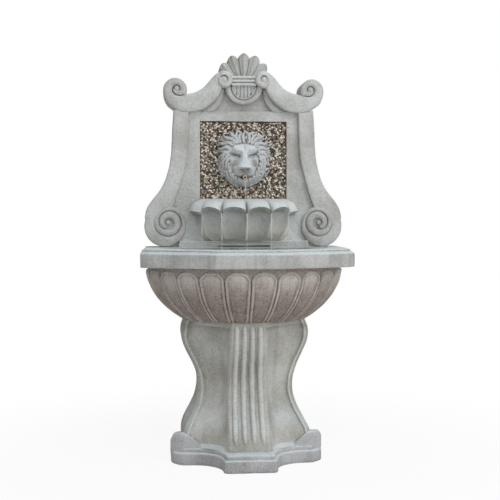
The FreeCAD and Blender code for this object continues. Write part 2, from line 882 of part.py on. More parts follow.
def make_impeller():
    """Vanes, back plate and magnet rotor turning on the fixed shaft."""
    front = cover_x + cover_wall + impeller_gap
    plate_x = front + vane_height
    rotor_x = motor_x + impeller_gap
    rotor_end = motor_end_x - motor_end - impeller_gap
    pieces = [rod(hub_radius, on_axis(front), on_axis(rotor_x))]
    pieces.append(rod(impeller_radius, on_axis(plate_x), on_axis(plate_x + plate_thickness)))
    pieces.append(rod(motor_bore - rotor_gap, on_axis(rotor_x), on_axis(rotor_end)))
    for index in range(vane_count):
        vane = Part.makeBox(vane_height, impeller_radius, vane_thickness)
        vane.translate(Vector(front, pump_y, pump_z - vane_thickness / 2))
        vane.rotate(on_axis(0), Vector(1, 0, 0), 360 * index / vane_count)
        pieces.append(vane)
    return fused(pieces).cut(rod(shaft_radius + fit, on_axis(front), on_axis(rotor_end)))


def bush_starts():
    return (cover_x + cover_wall - bush_length, motor_end_x - motor_end)


def make_shaft():
    front, rear = bush_starts()
    return rod(shaft_radius, on_axis(front), on_axis(rear + bush_length))


def make_bushes():
    bushes = []
    for start in bush_starts():
        bushes.append(tube(bush_radius, shaft_radius + fit, on_axis(start), on_axis(start + bush_length)))
    return Part.makeCompound(bushes)


strainer_x = cover_x - strainer_length
knob_z = pump_z + knob_rise


def make_strainer():
    """Slotted box, open towards the pump."""
    y0 = pump_y - pump_half_depth
    y1 = pump_y + pump_half_depth
    top = pump_base + pump_height
    wall = strainer_wall
    body = box(strainer_x, cover_x, y0, y1, pump_base, top)
    body = body.cut(box(strainer_x + wall, cover_x, y0 + wall, y1 - wall, pump_base + wall, top - wall))
    slot_top = knob_z - knob_radius - slot_width
    slot_bottom = pump_base + 2 * slot_width
    pitch = 2 * (pump_half_depth - wall) / (slot_count + 1)
    length_pitch = strainer_length / (slot_count + 1)
    half = slot_width / 2
    slots = []
    for index in range(slot_count):
        y = y0 + wall + pitch * (index + 1)
        slots.append(box(strainer_x, strainer_x + wall, y - half, y + half, slot_bottom, slot_top))
        x = strainer_x + length_pitch * (index + 1)
        slots.append(box(x - half, x + half, y0, y1, slot_bottom, slot_top))
    pin = Vector(strainer_x, pump_y, knob_z)
    slots.append(rod(knob_pin + fit, pin, pin + Vector(wall, 0, 0)))
    return body.cut(slots)


def make_foam():
    wall = strainer_wall + foam_gap
    y0 = pump_y - pump_half_depth + wall
    y1 = pump_y + pump_half_depth - wall
    top = pump_base + pump_height - wall
    return box(strainer_x + foam_back_gap, cover_x - wall, y0, y1, pump_base + wall, top)


def make_knob():
    """Flat dial with a finger bar and a pin through the strainer."""
    face = strainer_x - knob_gap
    start = Vector(face - knob_thickness, pump_y, knob_z)
    dial = rod(knob_radius, start, Vector(face, pump_y, knob_z))
    half = knob_pin / 2
    left = pump_y - knob_radius
    right = pump_y + knob_radius
    bar = box(start.x - knob_thickness, start.x, left, right, knob_z - half, knob_z + half)
    inside = strainer_x + foam_back_gap - strainer_wall
    pin = rod(knob_pin, start, Vector(inside, pump_y, knob_z))
    return fused([dial, bar, pin])


def make_cups():
    cups = []
    for place in cup_places():
        top = place + Vector(0, 0, cup_height)
        bell = Part.makeCone(cup_radius, cup_stem, cup_height, place, Vector(0, 0, 1))
        stem = rod(cup_stem, top, top + Vector(0, 0, cup_stem_length))
        cups.append(fused([bell, stem]))
    return Part.makeCompound(cups)


def make_gland():
    start = on_axis(motor_end_x)
    return tube(gland_radius, cord_radius, start, start + Vector(gland_length, 0, 0))


# Water line
hose_points = [
    Vector(nozzle_x, hose_low_y, nozzle_base),
    Vector(nozzle_x, hose_low_y, rim_top + rail_height),
    Vector(0, hose_high_y, rim_top + channel_low_rise - rail_height),
    Vector(0, hose_high_y, spout_z - elbow_drop),
]


def rounded_path(points):
    """Straight runs joined by tangent arcs, each arc as large as its shorter run allows."""
    edges = []
    start = points[0]
    for before, corner, after in zip(points, points[1:], points[2:]):
        incoming = corner - before
        outgoing = after - corner
        turn = incoming.getAngle(outgoing)
        reach = 0.45 * min(incoming.Length, outgoing.Length)
        print("hose bend radius %.1f" % (reach / math.tan(turn / 2)))
        incoming.normalize()
        outgoing.normalize()
        first = corner - incoming * reach
        last = corner + outgoing * reach
        bisector = outgoing - incoming
        bisector.normalize()
        radius = reach / math.tan(turn / 2)
        middle = corner + bisector * (radius / math.cos(turn / 2) - radius)
        edges.append(edge(start, first))
        edges.append(Part.Arc(first, middle, last).toShape())
        start = last
    edges.append(edge(start, points[-1]))
    return Part.Wire(edges)


def make_hose():
    spine = rounded_path(hose_points)
    skins = []
    for radius in (hose_radius, hose_bore):
        ring = Part.Wire(Part.Circle(hose_points[0], Vector(0, 0, 1), radius).toShape())
        skins.append(spine.makePipeShell([ring], True, False))
    hose = skins[0].cut(skins[1])
    section = math.pi * (hose_radius ** 2 - hose_bore ** 2)
    print("hose volume %.0f against %.0f" % (hose.Volume, section * spine.Length))
    return hose


def make_clamps():
    clamps = []
    low = nozzle_base + clamp_height
    high = spout_z - elbow_drop - 2 * clamp_height
    for point, z in ((hose_points[0], low), (hose_points[-1], high)):
        start = Vector(point.x, point.y, z)
        end = start + Vector(0, 0, clamp_height)
        clamps.append(tube(hose_radius + clamp_wall, hose_radius + fit, start, end))
    return Part.makeCompound(clamps)


def make_clip():
    """Saddle on the web of the channel with a round seat for the hose."""
    z0 = rim_top + recess_rise + clip_height
    back = hose_high_y + hose_radius + clip_wall
    body = box(-clip_half, clip_half, web_back, back, z0, z0 + clip_height)
    axis = Vector(0, hose_high_y, z0)
    return body.cut(rod(hose_radius + fit, axis, axis + Vector(0, 0, clip_height)))


elbow_front = web_back + washer_thickness + locknut_height + nut_gap


def make_elbow():
    """Right-angle fitting: shoulder and barb down into the hose, socket forward for the nipple."""
    centre = Vector(0, hose_high_y, spout_z)
    front = Vector(0, elbow_front, spout_z)
    barb_end = centre - Vector(0, 0, elbow_barb)
    body = fused([
        rod(elbow_radius, front, centre + Vector(0, elbow_radius + elbow_cap, 0)),
        rod(elbow_radius - elbow_cap, centre - Vector(0, 0, elbow_drop), centre),
        rod(hose_bore - fit, barb_end, centre),
    ])
    cuts = [
        rod(nipple_bore, front, centre + Vector(0, nipple_bore, 0)),
        rod(barb_bore, barb_end, centre),
        rod(nipple_radius + fit, front, front + Vector(0, nipple_socket, 0)),
    ]
    return body.cut(cuts)


def make_nipple():
    start = Vector(0, mask_front + nipple_setback, spout_z)
    return tube(nipple_radius, nipple_bore, start, Vector(0, elbow_front + nipple_socket, spout_z))


def make_washer():
    start = Vector(0, web_back, spout_z)
    return tube(washer_radius, nipple_radius + fit, start, start + Vector(0, washer_thickness, 0))


def make_locknut():
    start = Vector(0, web_back + washer_thickness, spout_z)
    end = start + Vector(0, locknut_height, 0)
    return hexagon(locknut_flats, start, end).cut(rod(nipple_radius + fit, start, end))


# Drain
def drain_at(z):
    return Vector(0, back_y - drain_depth, z)


drain_flange_z = floor_z + gasket_thickness
drain_lip_z = drain_flange_z + drain_flange_height
drain_low_z = column_top - drain_thread


def make_drain_bushing():
    body = fused([
        rod(drain_flange, drain_at(drain_flange_z), drain_at(drain_lip_z)),
        rod(drain_radius, drain_at(drain_low_z), drain_at(drain_flange_z)),
    ])
    return body.cut(rod(drain_bore, drain_at(drain_low_z), drain_at(drain_lip_z)))


def make_drain_gasket():
    return tube(drain_flange, drain_radius + fit, drain_at(floor_z), drain_at(drain_flange_z))


def make_drain_locknut():
    low = drain_at(column_top - drain_nut_height)
    high = drain_at(column_top)
    return hexagon(drain_nut_flats, low, high).cut(rod(drain_radius + fit, low, high))


def make_stopper():
    """Tapered rubber plug with a flat head and a lifting ring."""
    plug_radius = drain_bore - 2 * fit
    low = drain_at(drain_lip_z - stopper_depth)
    plug = Part.makeCone(plug_radius - stopper_taper, plug_radius, stopper_depth, low)
    head = rod(stopper_head, drain_at(drain_lip_z), drain_at(drain_lip_z + stopper_head_height))
    ring_z = drain_lip_z + stopper_head_height + stopper_ring
    ring = Part.makeTorus(stopper_ring, stopper_ring_wire, drain_at(ring_z), Vector(0, 1, 0))
    return fused([plug, head, ring])


def make_grommet():
    start = Vector(grommet_x, basin_back, floor_z + grommet_rise)
    inside = start - Vector(0, grommet_flange_thickness, 0)
    outside = Vector(grommet_x, back_y, start.z)
    body = fused([rod(grommet_radius, start, outside), rod(grommet_flange, inside, start)])
    return body.cut(rod(cord_radius, inside, outside))


# Holes that pass through several castings, then the pieces
spout_hole = rod(
    nipple_radius + loose_fit,
    Vector(0, mask_front - mask_depth, spout_z),
    Vector(0, back_y, spout_z),
)
water_hole = rod(
    hose_radius + hose_gap,
    Vector(nozzle_x, hose_low_y, rim_bottom),
    Vector(nozzle_x, hose_low_y, rim_top),
)

export("plinth", make_plinth())
export("pedestal_column", make_column())
export("basin", make_basin(water_hole))
export("backsplash", make_backsplash(spout_hole))
export("pebble_bed", make_pebble_bed(spout_hole))
export("lion_mask", make_mask(spout_hole))
export("shell_shelf", make_shell())
export("pump_motor_housing", make_motor_housing())
export("pump_volute_cover", make_volute_cover())
export("pump_impeller", make_impeller())
export("pump_shaft", make_shaft())
export("pump_shaft_bushes", make_bushes())
export("pump_strainer", make_strainer())
export("pump_foam_filter", make_foam())
export("pump_flow_knob", make_knob())
export("pump_suction_cups", make_cups())
export("pump_cord_gland", make_gland())
export("riser_hose", make_hose())
export("hose_clamps", make_clamps())
export("hose_clip", make_clip())
export("spout_elbow", make_elbow())
export("spout_nipple", make_nipple())
export("spout_locknut", make_locknut())
export("spout_washer", make_washer())
export("drain_bushing", make_drain_bushing())
export("drain_gasket", make_drain_gasket())
export("drain_locknut", make_drain_locknut())
export("drain_stopper", make_stopper())
export("locating_dowels", Part.makeCompound([dowel(sign, 0) for sign in (1, -1)]))
export("cord_grommet", make_grommet())
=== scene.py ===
import bmesh
import bpy
import numpy as np
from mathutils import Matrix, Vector
from numpy import arange, clip, concatenate, cos, exp, hypot, linspace, maximum, minimum
from numpy import pi, radians, sin, sqrt, stack


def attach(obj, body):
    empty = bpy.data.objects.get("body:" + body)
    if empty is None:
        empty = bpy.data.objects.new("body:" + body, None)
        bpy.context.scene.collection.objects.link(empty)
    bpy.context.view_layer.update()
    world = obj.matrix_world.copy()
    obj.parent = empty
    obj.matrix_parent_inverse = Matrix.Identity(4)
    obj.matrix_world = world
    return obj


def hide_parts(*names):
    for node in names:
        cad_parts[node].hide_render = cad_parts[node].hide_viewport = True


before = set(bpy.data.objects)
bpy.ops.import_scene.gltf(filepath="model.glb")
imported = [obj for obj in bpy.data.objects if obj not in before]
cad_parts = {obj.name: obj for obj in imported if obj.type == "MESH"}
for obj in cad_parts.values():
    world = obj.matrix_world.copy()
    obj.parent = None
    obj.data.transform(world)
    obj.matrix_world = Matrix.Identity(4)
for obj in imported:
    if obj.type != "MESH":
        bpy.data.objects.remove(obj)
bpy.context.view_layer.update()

# A cast stone wall fountain, worked out in millimetres: X to the right, Y towards the wall, Z up.
MM = 0.001
ROOT = "fountain"
WEAR = 0.4

# Places in Y: the wall, the front of the panel's field and the front of the gravel bed
BACK = 200.0
FIELD = 118.0
BED = 124.0

# Heights, from the floor up
COLUMN_FOOT = 56.0
BOWL_FOOT = 466.0
BOWL_FLOOR = 506.0
RIM_FOOT = 647.0
WATER = 672.0
RIM_TOP = 706.0
WINDOW_LOW = 870.0
MASK_Z = 999.0
WINDOW_HIGH = 1133.5


# Curves
def ease(t):
    """Smooth step: three t squared less two t cubed, held between 0 and 1."""
    t = clip(t, 0.0, 1.0)
    return t * t * (3 - 2 * t)


def bell(x, centre, width):
    """Bell curve: e to the power of minus the squared distance from the centre, in widths."""
    return exp(-(((x - centre) / width) ** 2))


def hump(x, width):
    """Flat-topped hump: e to the power of minus the fourth power of x in widths."""
    return exp(-((x / width) ** 4))


def pairs(first, second):
    """Points of a plane from their two coordinates."""
    return stack(np.broadcast_arrays(first, second), -1)


def polar(centre, reach, angle):
    """Points of a plane at a reach and an angle from a centre."""
    return pairs(centre[0] + reach * cos(angle), centre[1] + reach * sin(angle))


def through(knots, values, x):
    """Natural cubic through the knots, whose second slopes solve the usual three-term rows."""
    knots = np.asarray(knots, float)
    values = np.asarray(values, float)
    step = np.diff(knots)
    rows = np.eye(len(knots))
    right = np.zeros(len(knots))
    i = arange(1, len(knots) - 1)
    rows[i, i - 1] = step[:-1]
    rows[i, i] = 2 * (step[:-1] + step[1:])
    rows[i, i + 1] = step[1:]
    right[1:-1] = 6 * np.diff(np.diff(values) / step)
    second = np.linalg.solve(rows, right)
    k = clip(np.searchsorted(knots, x) - 1, 0, len(knots) - 2)
    a = (knots[k + 1] - x) / step[k]
    b = (x - knots[k]) / step[k]
    bend = (a ** 3 - a) * second[k] + (b ** 3 - b) * second[k + 1]
    return a * values[k] + b * values[k + 1] + bend * step[k] ** 2 / 6


def along(points, count):
    """Smooth curve through points of a plane, each coordinate a cubic in the chord length."""
    points = np.asarray(points, float)
    chord = concatenate([[0], np.cumsum(hypot(*np.diff(points, axis=0).T))])
    t = linspace(0, chord[-1], count)
    return pairs(through(chord, points[:, 0], t), through(chord, points[:, 1], t))


def spread(corners, places, count):
    """Points on the straight lines between corners[row, corner], which sit at the index places given."""
    share = stack([np.interp(arange(count), places, unit) for unit in np.eye(len(places))])
    return np.einsum("kc,rkd->rcd", share, corners)


def lifted(plans, z):
    """Rings in space from plans[row, column] in X and Y, and the height of each row."""
    return concatenate([plans, np.broadcast_to(z, plans.shape[:2])[..., None]], -1)


# Grids and pieces
def weathered(points):
    """Moves points by a slow field, each coordinate by sines of the others, under a millimetre, and keeps
    them above the floor."""
    x, y, z = np.moveaxis(points, -1, 0)
    shift = [
        sin(z / 23 + 1.3) * sin(y / 31) + 0.5 * sin(z / 9 + x / 13),
        sin(x / 27 + 0.4) * sin(z / 21 + 2.1) + 0.5 * sin(x / 8 + z / 11),
        sin(x / 25 + 2.0) * sin(y / 29 + 0.7) + 0.5 * sin(x / 12 - y / 9),
    ]
    moved = points + WEAR * stack(shift, -1)
    moved[..., 2] = maximum(moved[..., 2], 0)
    return moved


def cells(rows, columns, loop):
    """Quads of a grid, with its last column joined to the first where it is a loop."""
    index = arange(rows * columns).reshape(rows, columns)
    if loop:
        index = concatenate([index, index[:, :1]], 1)
    corners = [index[:-1, :-1], index[:-1, 1:], index[1:, 1:], index[1:, :-1]]
    return stack(corners, -1).reshape(-1, 4)


def mesh_of(name, points, faces, values, worn, crisp):
    """Mesh in metres from points in millimetres, its doubles merged and its faces turned outwards."""
    points = weathered(points) if worn else points
    mesh = bpy.data.meshes.new(name)
    mesh.from_pydata((points * MM).tolist(), [], faces.tolist())
    for key, value in values.items():
        layer = mesh.attributes.new(key, "FLOAT", "POINT")
        layer.data.foreach_set("value", np.asarray(value, np.float32))
    shape = bmesh.new()
    shape.from_mesh(mesh)
    bmesh.ops.remove_doubles(shape, verts=shape.verts, dist=2e-5)
    bmesh.ops.dissolve_degenerate(shape, edges=shape.edges, dist=1e-6)
    bmesh.ops.recalc_face_normals(shape, faces=shape.faces)
    shape.to_mesh(mesh)
    shape.free()
    mesh.shade_smooth()
    mesh.set_sharp_from_angle(angle=radians(crisp))
    return mesh


def shown(name, data):
    """Object of the data given, linked to the scene."""
    item = bpy.data.objects.new(name, data)
    bpy.context.scene.collection.objects.link(item)
    return item


def placed(name, mesh, finish, slot, *stands_for):
    """Object of a finished mesh: its finish, the nodes it stands for, hidden, and its body. The slot is not
    used.
    """
    mesh.materials.append(finish)
    item = shown(name, mesh)
    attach(item, ROOT)
    if stands_for:
        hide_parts(*stands_for)
    return item


def piece(name, grids, finish, slot, *stands_for, worn=True, crisp=38):
    """One object from grids of (points[row, column], painted light and dirt, loop), riding on the fountain's
    body.
    """
    points, faces, shading_and_grime, start = [], [], [], 0
    for grid, wash, loop in grids:
        rows, columns = grid.shape[:2]
        points.append(grid.reshape(-1, 3))
        shading_and_grime.append(np.broadcast_to(wash, (rows, columns)).ravel())
        faces.append(cells(rows, columns, loop) + start)
        start += rows * columns
    values = {"wash": concatenate(shading_and_grime)}
    mesh = mesh_of(name, concatenate(points), concatenate(faces), values, worn, crisp)
    return placed(name, mesh, finish, slot, *stands_for)


def capped(rings, wash=0.0):
    """Closed skin over rings[row, column]: a row half way in and a row at the middle shut each end."""
    def lid(ring):
        middle = ring.mean(0)
        return stack([middle + 0 * ring, middle + (ring - middle) * 0.5])

    skin = concatenate([lid(rings[0]), rings, lid(rings[-1])[::-1]])
    shading_and_grime = np.broadcast_to(wash, rings.shape[:2])
    return skin, np.pad(shading_and_grime, ((2, 2), (0, 0)), mode="edge"), True


def eased_edge(radius):
    """Section of a flat band: a quarter round of the radius along both edges."""
    def drop(s, width):
        inside = clip(minimum(s, 1 - s) * width / radius, 0, 1)
        return radius * (1 - sqrt(1 - (1 - inside) ** 2))
    return drop


def rolled(share, most):
    """Section of a round band: half an ellipse that falls back by a share of the width, at most by most."""
    def drop(s, width):
        fall = minimum(share * width, most)
        return fall * (1 - sqrt(clip(1 - (2 * s - 1) ** 2, 0, 1)))
    return drop


def ribbon(first, last, front, back, drop, count, groove=0.0, shading_and_grime=0.0, base=0.0):
    """Band between two edge curves in the panel's plane, as a closed skin.

    Across it s runs from 0 to 1, closer together near the edges. The face stands at front plus
    drop(s, width) towards the wall, and both edges run straight to back. A groove draws the edges in.
    The painted shading is base, and more at the edges, where shade is painted into the crevice, from where it
    dies away as e to the minus distance. A negative base paints the band pale as a painted highlight.
    """
    width = hypot(*(last - first).T)[:, None]
    inward = (last - first) / maximum(width, 1e-6) * groove
    first, last = first + inward, last - inward
    s = (1 - cos(linspace(0, pi, count))) / 2
    face = first[:, None] * (1 - s[:, None]) + last[:, None] * s[:, None]
    rear = np.broadcast_to(back, (len(face), 1))
    depth = concatenate([rear, np.broadcast_to(front + drop(s, width), face.shape[:2]), rear], 1)
    x, z = np.moveaxis(np.pad(face, ((0, 0), (1, 1), (0, 0)), mode="edge"), -1, 0)
    # painted shade: darker towards the band's edges, where it meets what lies behind
    wash = shading_and_grime * exp(-minimum(s, 1 - s) * width / 5)
    return capped(stack([x, depth, z], -1), base + np.pad(wash, ((0, 0), (1, 1))))


def both(*grids):
    """Each grid and its mirror image on the other side of the middle plane."""
    found = []
    for points, wash, loop in grids:
        found += [(points, wash, loop), (points * [-1, 1, 1], wash, loop)]
    return found


def dying(radius, eye_radius, fall):
    """Radius of a spiral after t turns: it falls to the eye's radius as e to the minus fall times t."""
    def reach(t):
        return eye_radius + (radius - eye_radius) * exp(-fall * t)
    return reach


def curl(eye, start, reach, turns, rim, rim_radius, rim_arc, sense, count, flare=0.0):
    """Rolled-up end of a band, as its inner and its outer edge.

    The inner edge is a spiral about the eye, whose radius after t turns is reach(t). The outer edge is
    an arc of the rim for the first turn, and after it the spiral of the turn before, so the band thins
    out against the eye. Over its first quarter the arc closes in from the flare as a square.
    """
    turned = linspace(0, turns, count)

    def spiral(t):
        return polar(eye, reach(t), radians(start) + sense * 2 * pi * t)

    angle = radians(rim_arc[0] + (rim_arc[1] - rim_arc[0]) * minimum(turned, 1))
    arc = polar(rim, rim_radius + flare * clip(1 - turned / 0.24, 0, 1) ** 2, angle)
    outer = np.where((turned < 1)[:, None], arc, spiral(maximum(turned - 1, 0)))
    return spiral(turned), outer


def button(eye, radius, front, rise, back):
    """Domed eye of a scroll: circles that shrink as the cosine while the face comes forward as the sine."""
    t = linspace(0, pi / 2 * 0.96, 8)[:, None]
    angle = linspace(0, 2 * pi, 28, endpoint=False)[None]
    reach = concatenate([[[radius]], radius * cos(t)])
    depth = concatenate([[[back]], front - rise * sin(t)])
    rings = [eye[0] + reach * cos(angle), depth + 0 * angle, eye[1] + reach * sin(angle)]
    return capped(stack(rings, -1))


# Finishes
def rgb(*shade):
    """Linear colour of an everyday colour given in 0 to 255."""
    share = np.array(shade) / 255
    linear = np.where(share < 0.0404, share / 12.92, ((share + 0.055) / 1.055) ** 2.4)
    return (*linear.tolist(), 1.0)


class Strand:
    """A node's output in an expression: arithmetic on it adds Math nodes to its tree."""

    def __init__(self, nodes, link):
        self.nodes = nodes
        self.link = link

    def math(self, operation, a, b):
        return self.nodes.node("ShaderNodeMath", {"operation": operation}, {0: a, 1: b})

    def __add__(self, other):
        return self.math("ADD", self, other)

    __radd__ = __add__

    def __sub__(self, other):
        return self.math("SUBTRACT", self, other)

    def __rsub__(self, other):
        return self.math("SUBTRACT", other, self)

    def __mul__(self, other):
        return self.math("MULTIPLY", self, other)

    __rmul__ = __mul__

    def above(self, low, high):
        """0 below low, 1 above high, and smooth between."""
        inputs = {"Value": self, "From Min": low, "From Max": high}
        return self.nodes.node("ShaderNodeMapRange", {"interpolation_type": "SMOOTHSTEP"}, inputs)


class Nodes:
    """A node tree: node() adds a node to it, and join() links an output to a socket."""

    def __init__(self, tree):
        self.tree = tree

    def node(self, kind, settings=None, inputs=None, output=0):
        """A node of the kind given: its settings first, then the values or links of its sockets."""
        made = self.tree.nodes.new(kind)
        for key, value in (settings or {}).items():
            if key == "stops":
                ramp = made.color_ramp
                ramp.interpolation = "CONSTANT"
                for _ in value[2:]:
                    ramp.elements.new(0.5)
                for element, (place, shade) in zip(ramp.elements, value):
                    element.position = place
                    element.color = rgb(*shade)
            else:
                setattr(made, key, value)
        for key, value in (inputs or {}).items():
            if isinstance(value, Strand):
                self.join(value, made.inputs[key])
            else:
                made.inputs[key].default_value = value
        return Strand(self, made.outputs[output])

    def join(self, strand, socket):
        self.tree.links.new(strand.link, socket)

    def backdrop(self):
        """1 for rays that look at the backdrop, straight, mirrored or through water, and 0 for its light."""
        kinds = ("Is Camera Ray", "Is Glossy Ray", "Is Transmission Ray")
        straight, mirrored, through_water = (self.node("ShaderNodeLightPath", output=kind) for kind in kinds)
        return straight + mirrored + through_water


class Finish(Nodes):
    """A material, whose Principled shader takes the constants given."""

    def __init__(self, name, **constants):
        self.material = bpy.data.materials.new(name)
        self.material.use_nodes = True
        super().__init__(self.material.node_tree)
        self.shader = self.tree.nodes["Principled BSDF"]
        for key, value in constants.items():
            self.shader.inputs[key.replace("_", " ")].default_value = value

    def place(self, scale=(1, 1, 1)):
        """Object coordinates, stretched by the scale."""
        where = self.node("ShaderNodeTexCoord", output="Object")
        return self.node("ShaderNodeMapping", {}, {"Vector": where, "Scale": scale})

    def noise(self, scale, detail, stretch=(1, 1, 1)):
        inputs = {"Vector": self.place(stretch), "Scale": scale, "Detail": detail}
        return self.node("ShaderNodeTexNoise", {}, inputs)

    def attribute(self, name):
        return self.node("ShaderNodeAttribute", {"attribute_name": name}, output="Fac")

    def tint(self, factor, a, b):
        """Colour a turned into colour b by the factor; both are strands or everyday colours."""
        a, b = (shade if isinstance(shade, Strand) else rgb(*shade) for shade in (a, b))
        settings = {"data_type": "RGBA", "blend_type": "MIX", "clamp_factor": True}
        return self.node("ShaderNodeMix", settings, {0: factor, 6: a, 7: b}, 2)

    def dressed(self, colour, rough, height, distance, strength):
        """The material, given a colour, unless that is constant, a roughness, and a bump in metres."""
        inputs = {"Height": height, "Distance": distance, "Strength": strength}
        bump = self.node("ShaderNodeBump", {}, inputs)
        for socket, strand in (("Base Color", colour), ("Roughness", rough), ("Normal", bump)):
            if strand is not None:
                self.join(strand, self.shader.inputs[socket])
        return self.material


def cast_stone(name, pale, grey, umber, brown, streaks, stretch=(34, 34, 2.5), painted_highlight=(224, 230, 231)):
    """Weathered cast stone: patches, streaks, crumbs and grain of sand, air holes, and tops painted paler as
    if lit from above.

    The attribute paints shade and dirt brown into the recesses, and where it is negative it paints the high
    parts pale as a highlight.
    """
    stone = Finish(name, Specular_IOR_Level=0.25)
    patches, drips = stone.noise(9, 5), stone.noise(1, 4, stretch)
    grain, crumb, sand = stone.noise(420, 2), stone.noise(190, 3), stone.noise(85, 4)
    holes = stone.node("ShaderNodeTexVoronoi", {}, {"Vector": stone.place(), "Scale": 130, "Randomness": 1.0})
    pits = (1 - holes.above(0.10, 0.20)) * sand.above(0.50, 0.60)
    wash = stone.attribute("wash")
    facing = stone.node("ShaderNodeNewGeometry", output="Normal")
    up = stone.node("ShaderNodeSeparateXYZ", {}, {0: facing}, 2)
    painted_top_light, pale_grain = (226, 238, 243), (234, 234, 231)
    dark_grain, hole, damp = (110, 106, 98), (90, 84, 74), (120, 114, 102)
    layers = [
        (drips.above(0.50, 0.68) * streaks, umber),
        # painted shade and dirt: brown where the attribute is positive
        (wash * brown * (0.55 + 0.2 * sand + 0.7 * drips), umber),
        # painted highlight: pale where the attribute is negative
        (wash * -0.9, painted_highlight),
        # painted light: faces that look up are painted paler, as if lit from above
        (up.above(0.2, 0.95) * 0.62, painted_top_light),
        ((grain - 0.5) * 0.5 + (crumb - 0.5) * 0.6 + 0.06, pale_grain),
        ((0.5 - crumb) * 0.7, dark_grain),
        (pits * 0.6, hole),
        ((0.5 - sand) * 0.8, damp),
    ]
    colour = stone.tint(patches.above(0.34, 0.66), grey, pale)
    for share, shade in layers:
        colour = stone.tint(share, colour, shade)
    height = grain * 0.3 + crumb * 0.8 + sand * 1.2 + patches * 1.2 - pits * 1.4
    return stone.dressed(colour, 0.78 + 0.2 * sand, height, 0.0019, 0.9)


def gravel(name):
    """Pea gravel: each stone has its own shade, from cream through tan and brown to black, and speckles."""
    stones = Finish(name)
    stops = [
        (0.00, (34, 31, 29)), (0.13, (80, 68, 59)), (0.26, (140, 119, 99)), (0.38, (182, 164, 140)),
        (0.51, (218, 208, 190)), (0.66, (142, 140, 134)), (0.79, (240, 236, 227)), (0.94, (62, 54, 48)),
    ]
    shade = stones.node("ShaderNodeValToRGB", {"stops": stops}, {0: stones.attribute("tone")})
    speckle = stones.noise(700, 3)
    colour = stones.tint((speckle - 0.45) * 0.6, shade, (240, 232, 216))
    colour = stones.tint((0.5 - speckle) * 0.8, colour, (40, 32, 26))
    return stones.dressed(colour, 0.4 + 0.3 * speckle, speckle, 0.0003, 0.5)


def mortar(name):
    """Dark sandy mortar between the stones."""
    bed = Finish(name)
    sand = bed.noise(260, 4)
    colour = bed.tint(sand.above(0.35, 0.7), (52, 45, 39), (124, 110, 94))
    return bed.dressed(colour, 0.8 + 0.18 * sand, sand, 0.0012, 1.0)


def moulded(name, colour, worn, rough, grain=900, **constants):
    """Moulded plastic or rubber: a fine spark-eroded grain, and a bloom of wear in patches."""
    skin = Finish(name, **constants)
    grains, bloom = skin.noise(grain, 2), skin.noise(34, 4)
    colour = skin.tint(bloom.above(0.45, 0.75) * 0.5, colour, worn)
    return skin.dressed(colour, rough + 0.18 * bloom, grains, 0.00015, 0.6)


def turned_metal(name, colour, dull, along_axis, rough):
    """Worked metal: fine tool lines round the axis, and tarnish in patches."""
    metal = Finish(name, Metallic=1.0)
    lines, tarnish = metal.noise(1, 2, along_axis), metal.noise(60, 4)
    colour = metal.tint(tarnish.above(0.42, 0.72), colour, dull)
    return metal.dressed(colour, rough + 0.25 * tarnish, lines, 0.0001, 0.4)


def open_foam(name):
    """Open cell foam: dark cells with paler walls between them."""
    foam = Finish(name)
    settings = {"feature": "DISTANCE_TO_EDGE"}
    cell = foam.node("ShaderNodeTexVoronoi", settings, {"Vector": foam.place(), "Scale": 520})
    # painted shade: the cells are dark as the shade inside them, and the walls between them pale
    wall = 1 - cell.above(0.02, 0.16)
    return foam.dressed(foam.tint(wall, (18, 20, 22), (66, 70, 74)), 0.8 + 0.15 * wall, wall, 0.0008, 1.0)


def running_water(name, clear):
    """Water, a little rough where it ripples, and white with air where it isn't clear."""
    water = Finish(name, IOR=1.333, Transmission_Weight=clear, Base_Color=rgb(236, 244, 246))
    ripple = water.noise(60, 3)
    return water.dressed(None, 0.03 + 0.12 * ripple, ripple, 0.0012, 0.35)


# Cast stones: pale and grey patches, the brown of painted shade and stains, its strength, streaks, their
# stretch and the colour of painted highlights
panel_stone = cast_stone("panel_stone", (197, 199, 198), (172, 173, 169), (106, 101, 90), 0.7, 0.12)
bowl_stone = cast_stone(
    "bowl_stone", (187, 179, 173), (162, 153, 146), (104, 87, 74), 0.85, 0.3, (70, 70, 5), (208, 196, 180)
)
rim_stone = cast_stone("rim_stone", (185, 186, 185), (161, 162, 160), (112, 108, 101), 0.7, 0.3, (60, 60, 6))
shell_stone = cast_stone(
    "shell_stone", (202, 208, 209), (183, 187, 184), (128, 117, 94), 0.75, 0.2, painted_highlight=(226, 224, 211)
)
column_stone = cast_stone("column_stone", (192, 192, 188), (165, 164, 157), (110, 104, 89), 0.75, 0.2)
plinth_stone = cast_stone("plinth_stone", (183, 184, 188), (158, 159, 162), (104, 101, 96), 0.75, 0.2)
mask_stone = cast_stone(
    "mask_stone", (197, 201, 201), (177, 180, 179), (92, 86, 77), 0.9, 0.05, painted_highlight=(206, 220, 228)
)

# Plinth: half widths and fronts of the middle block and of the wings, the scoops' radius and the chamfer
BLOCK_HALF, BLOCK_FRONT = 87, -175
WING_HALF, WING_FRONT = 251, -58
SCOOP = 95
CHAMFER = 33
# Its profile: heights, and how far the plan is drawn in there
PLINTH_PROFILE = np.array([
    (0, 3.5), (1.5, 1.2), (4, 0), (12, 0), (22, 0), (31, 0), (35.5, 0.4), (38.5, 1.6), (40.4, 3.8), (41, 6.2),
    (41.8, 7.4), (45, 7.6), (49, 8), (52.6, 9.2), (55, 11.6), (COLUMN_FOOT, 15),
])


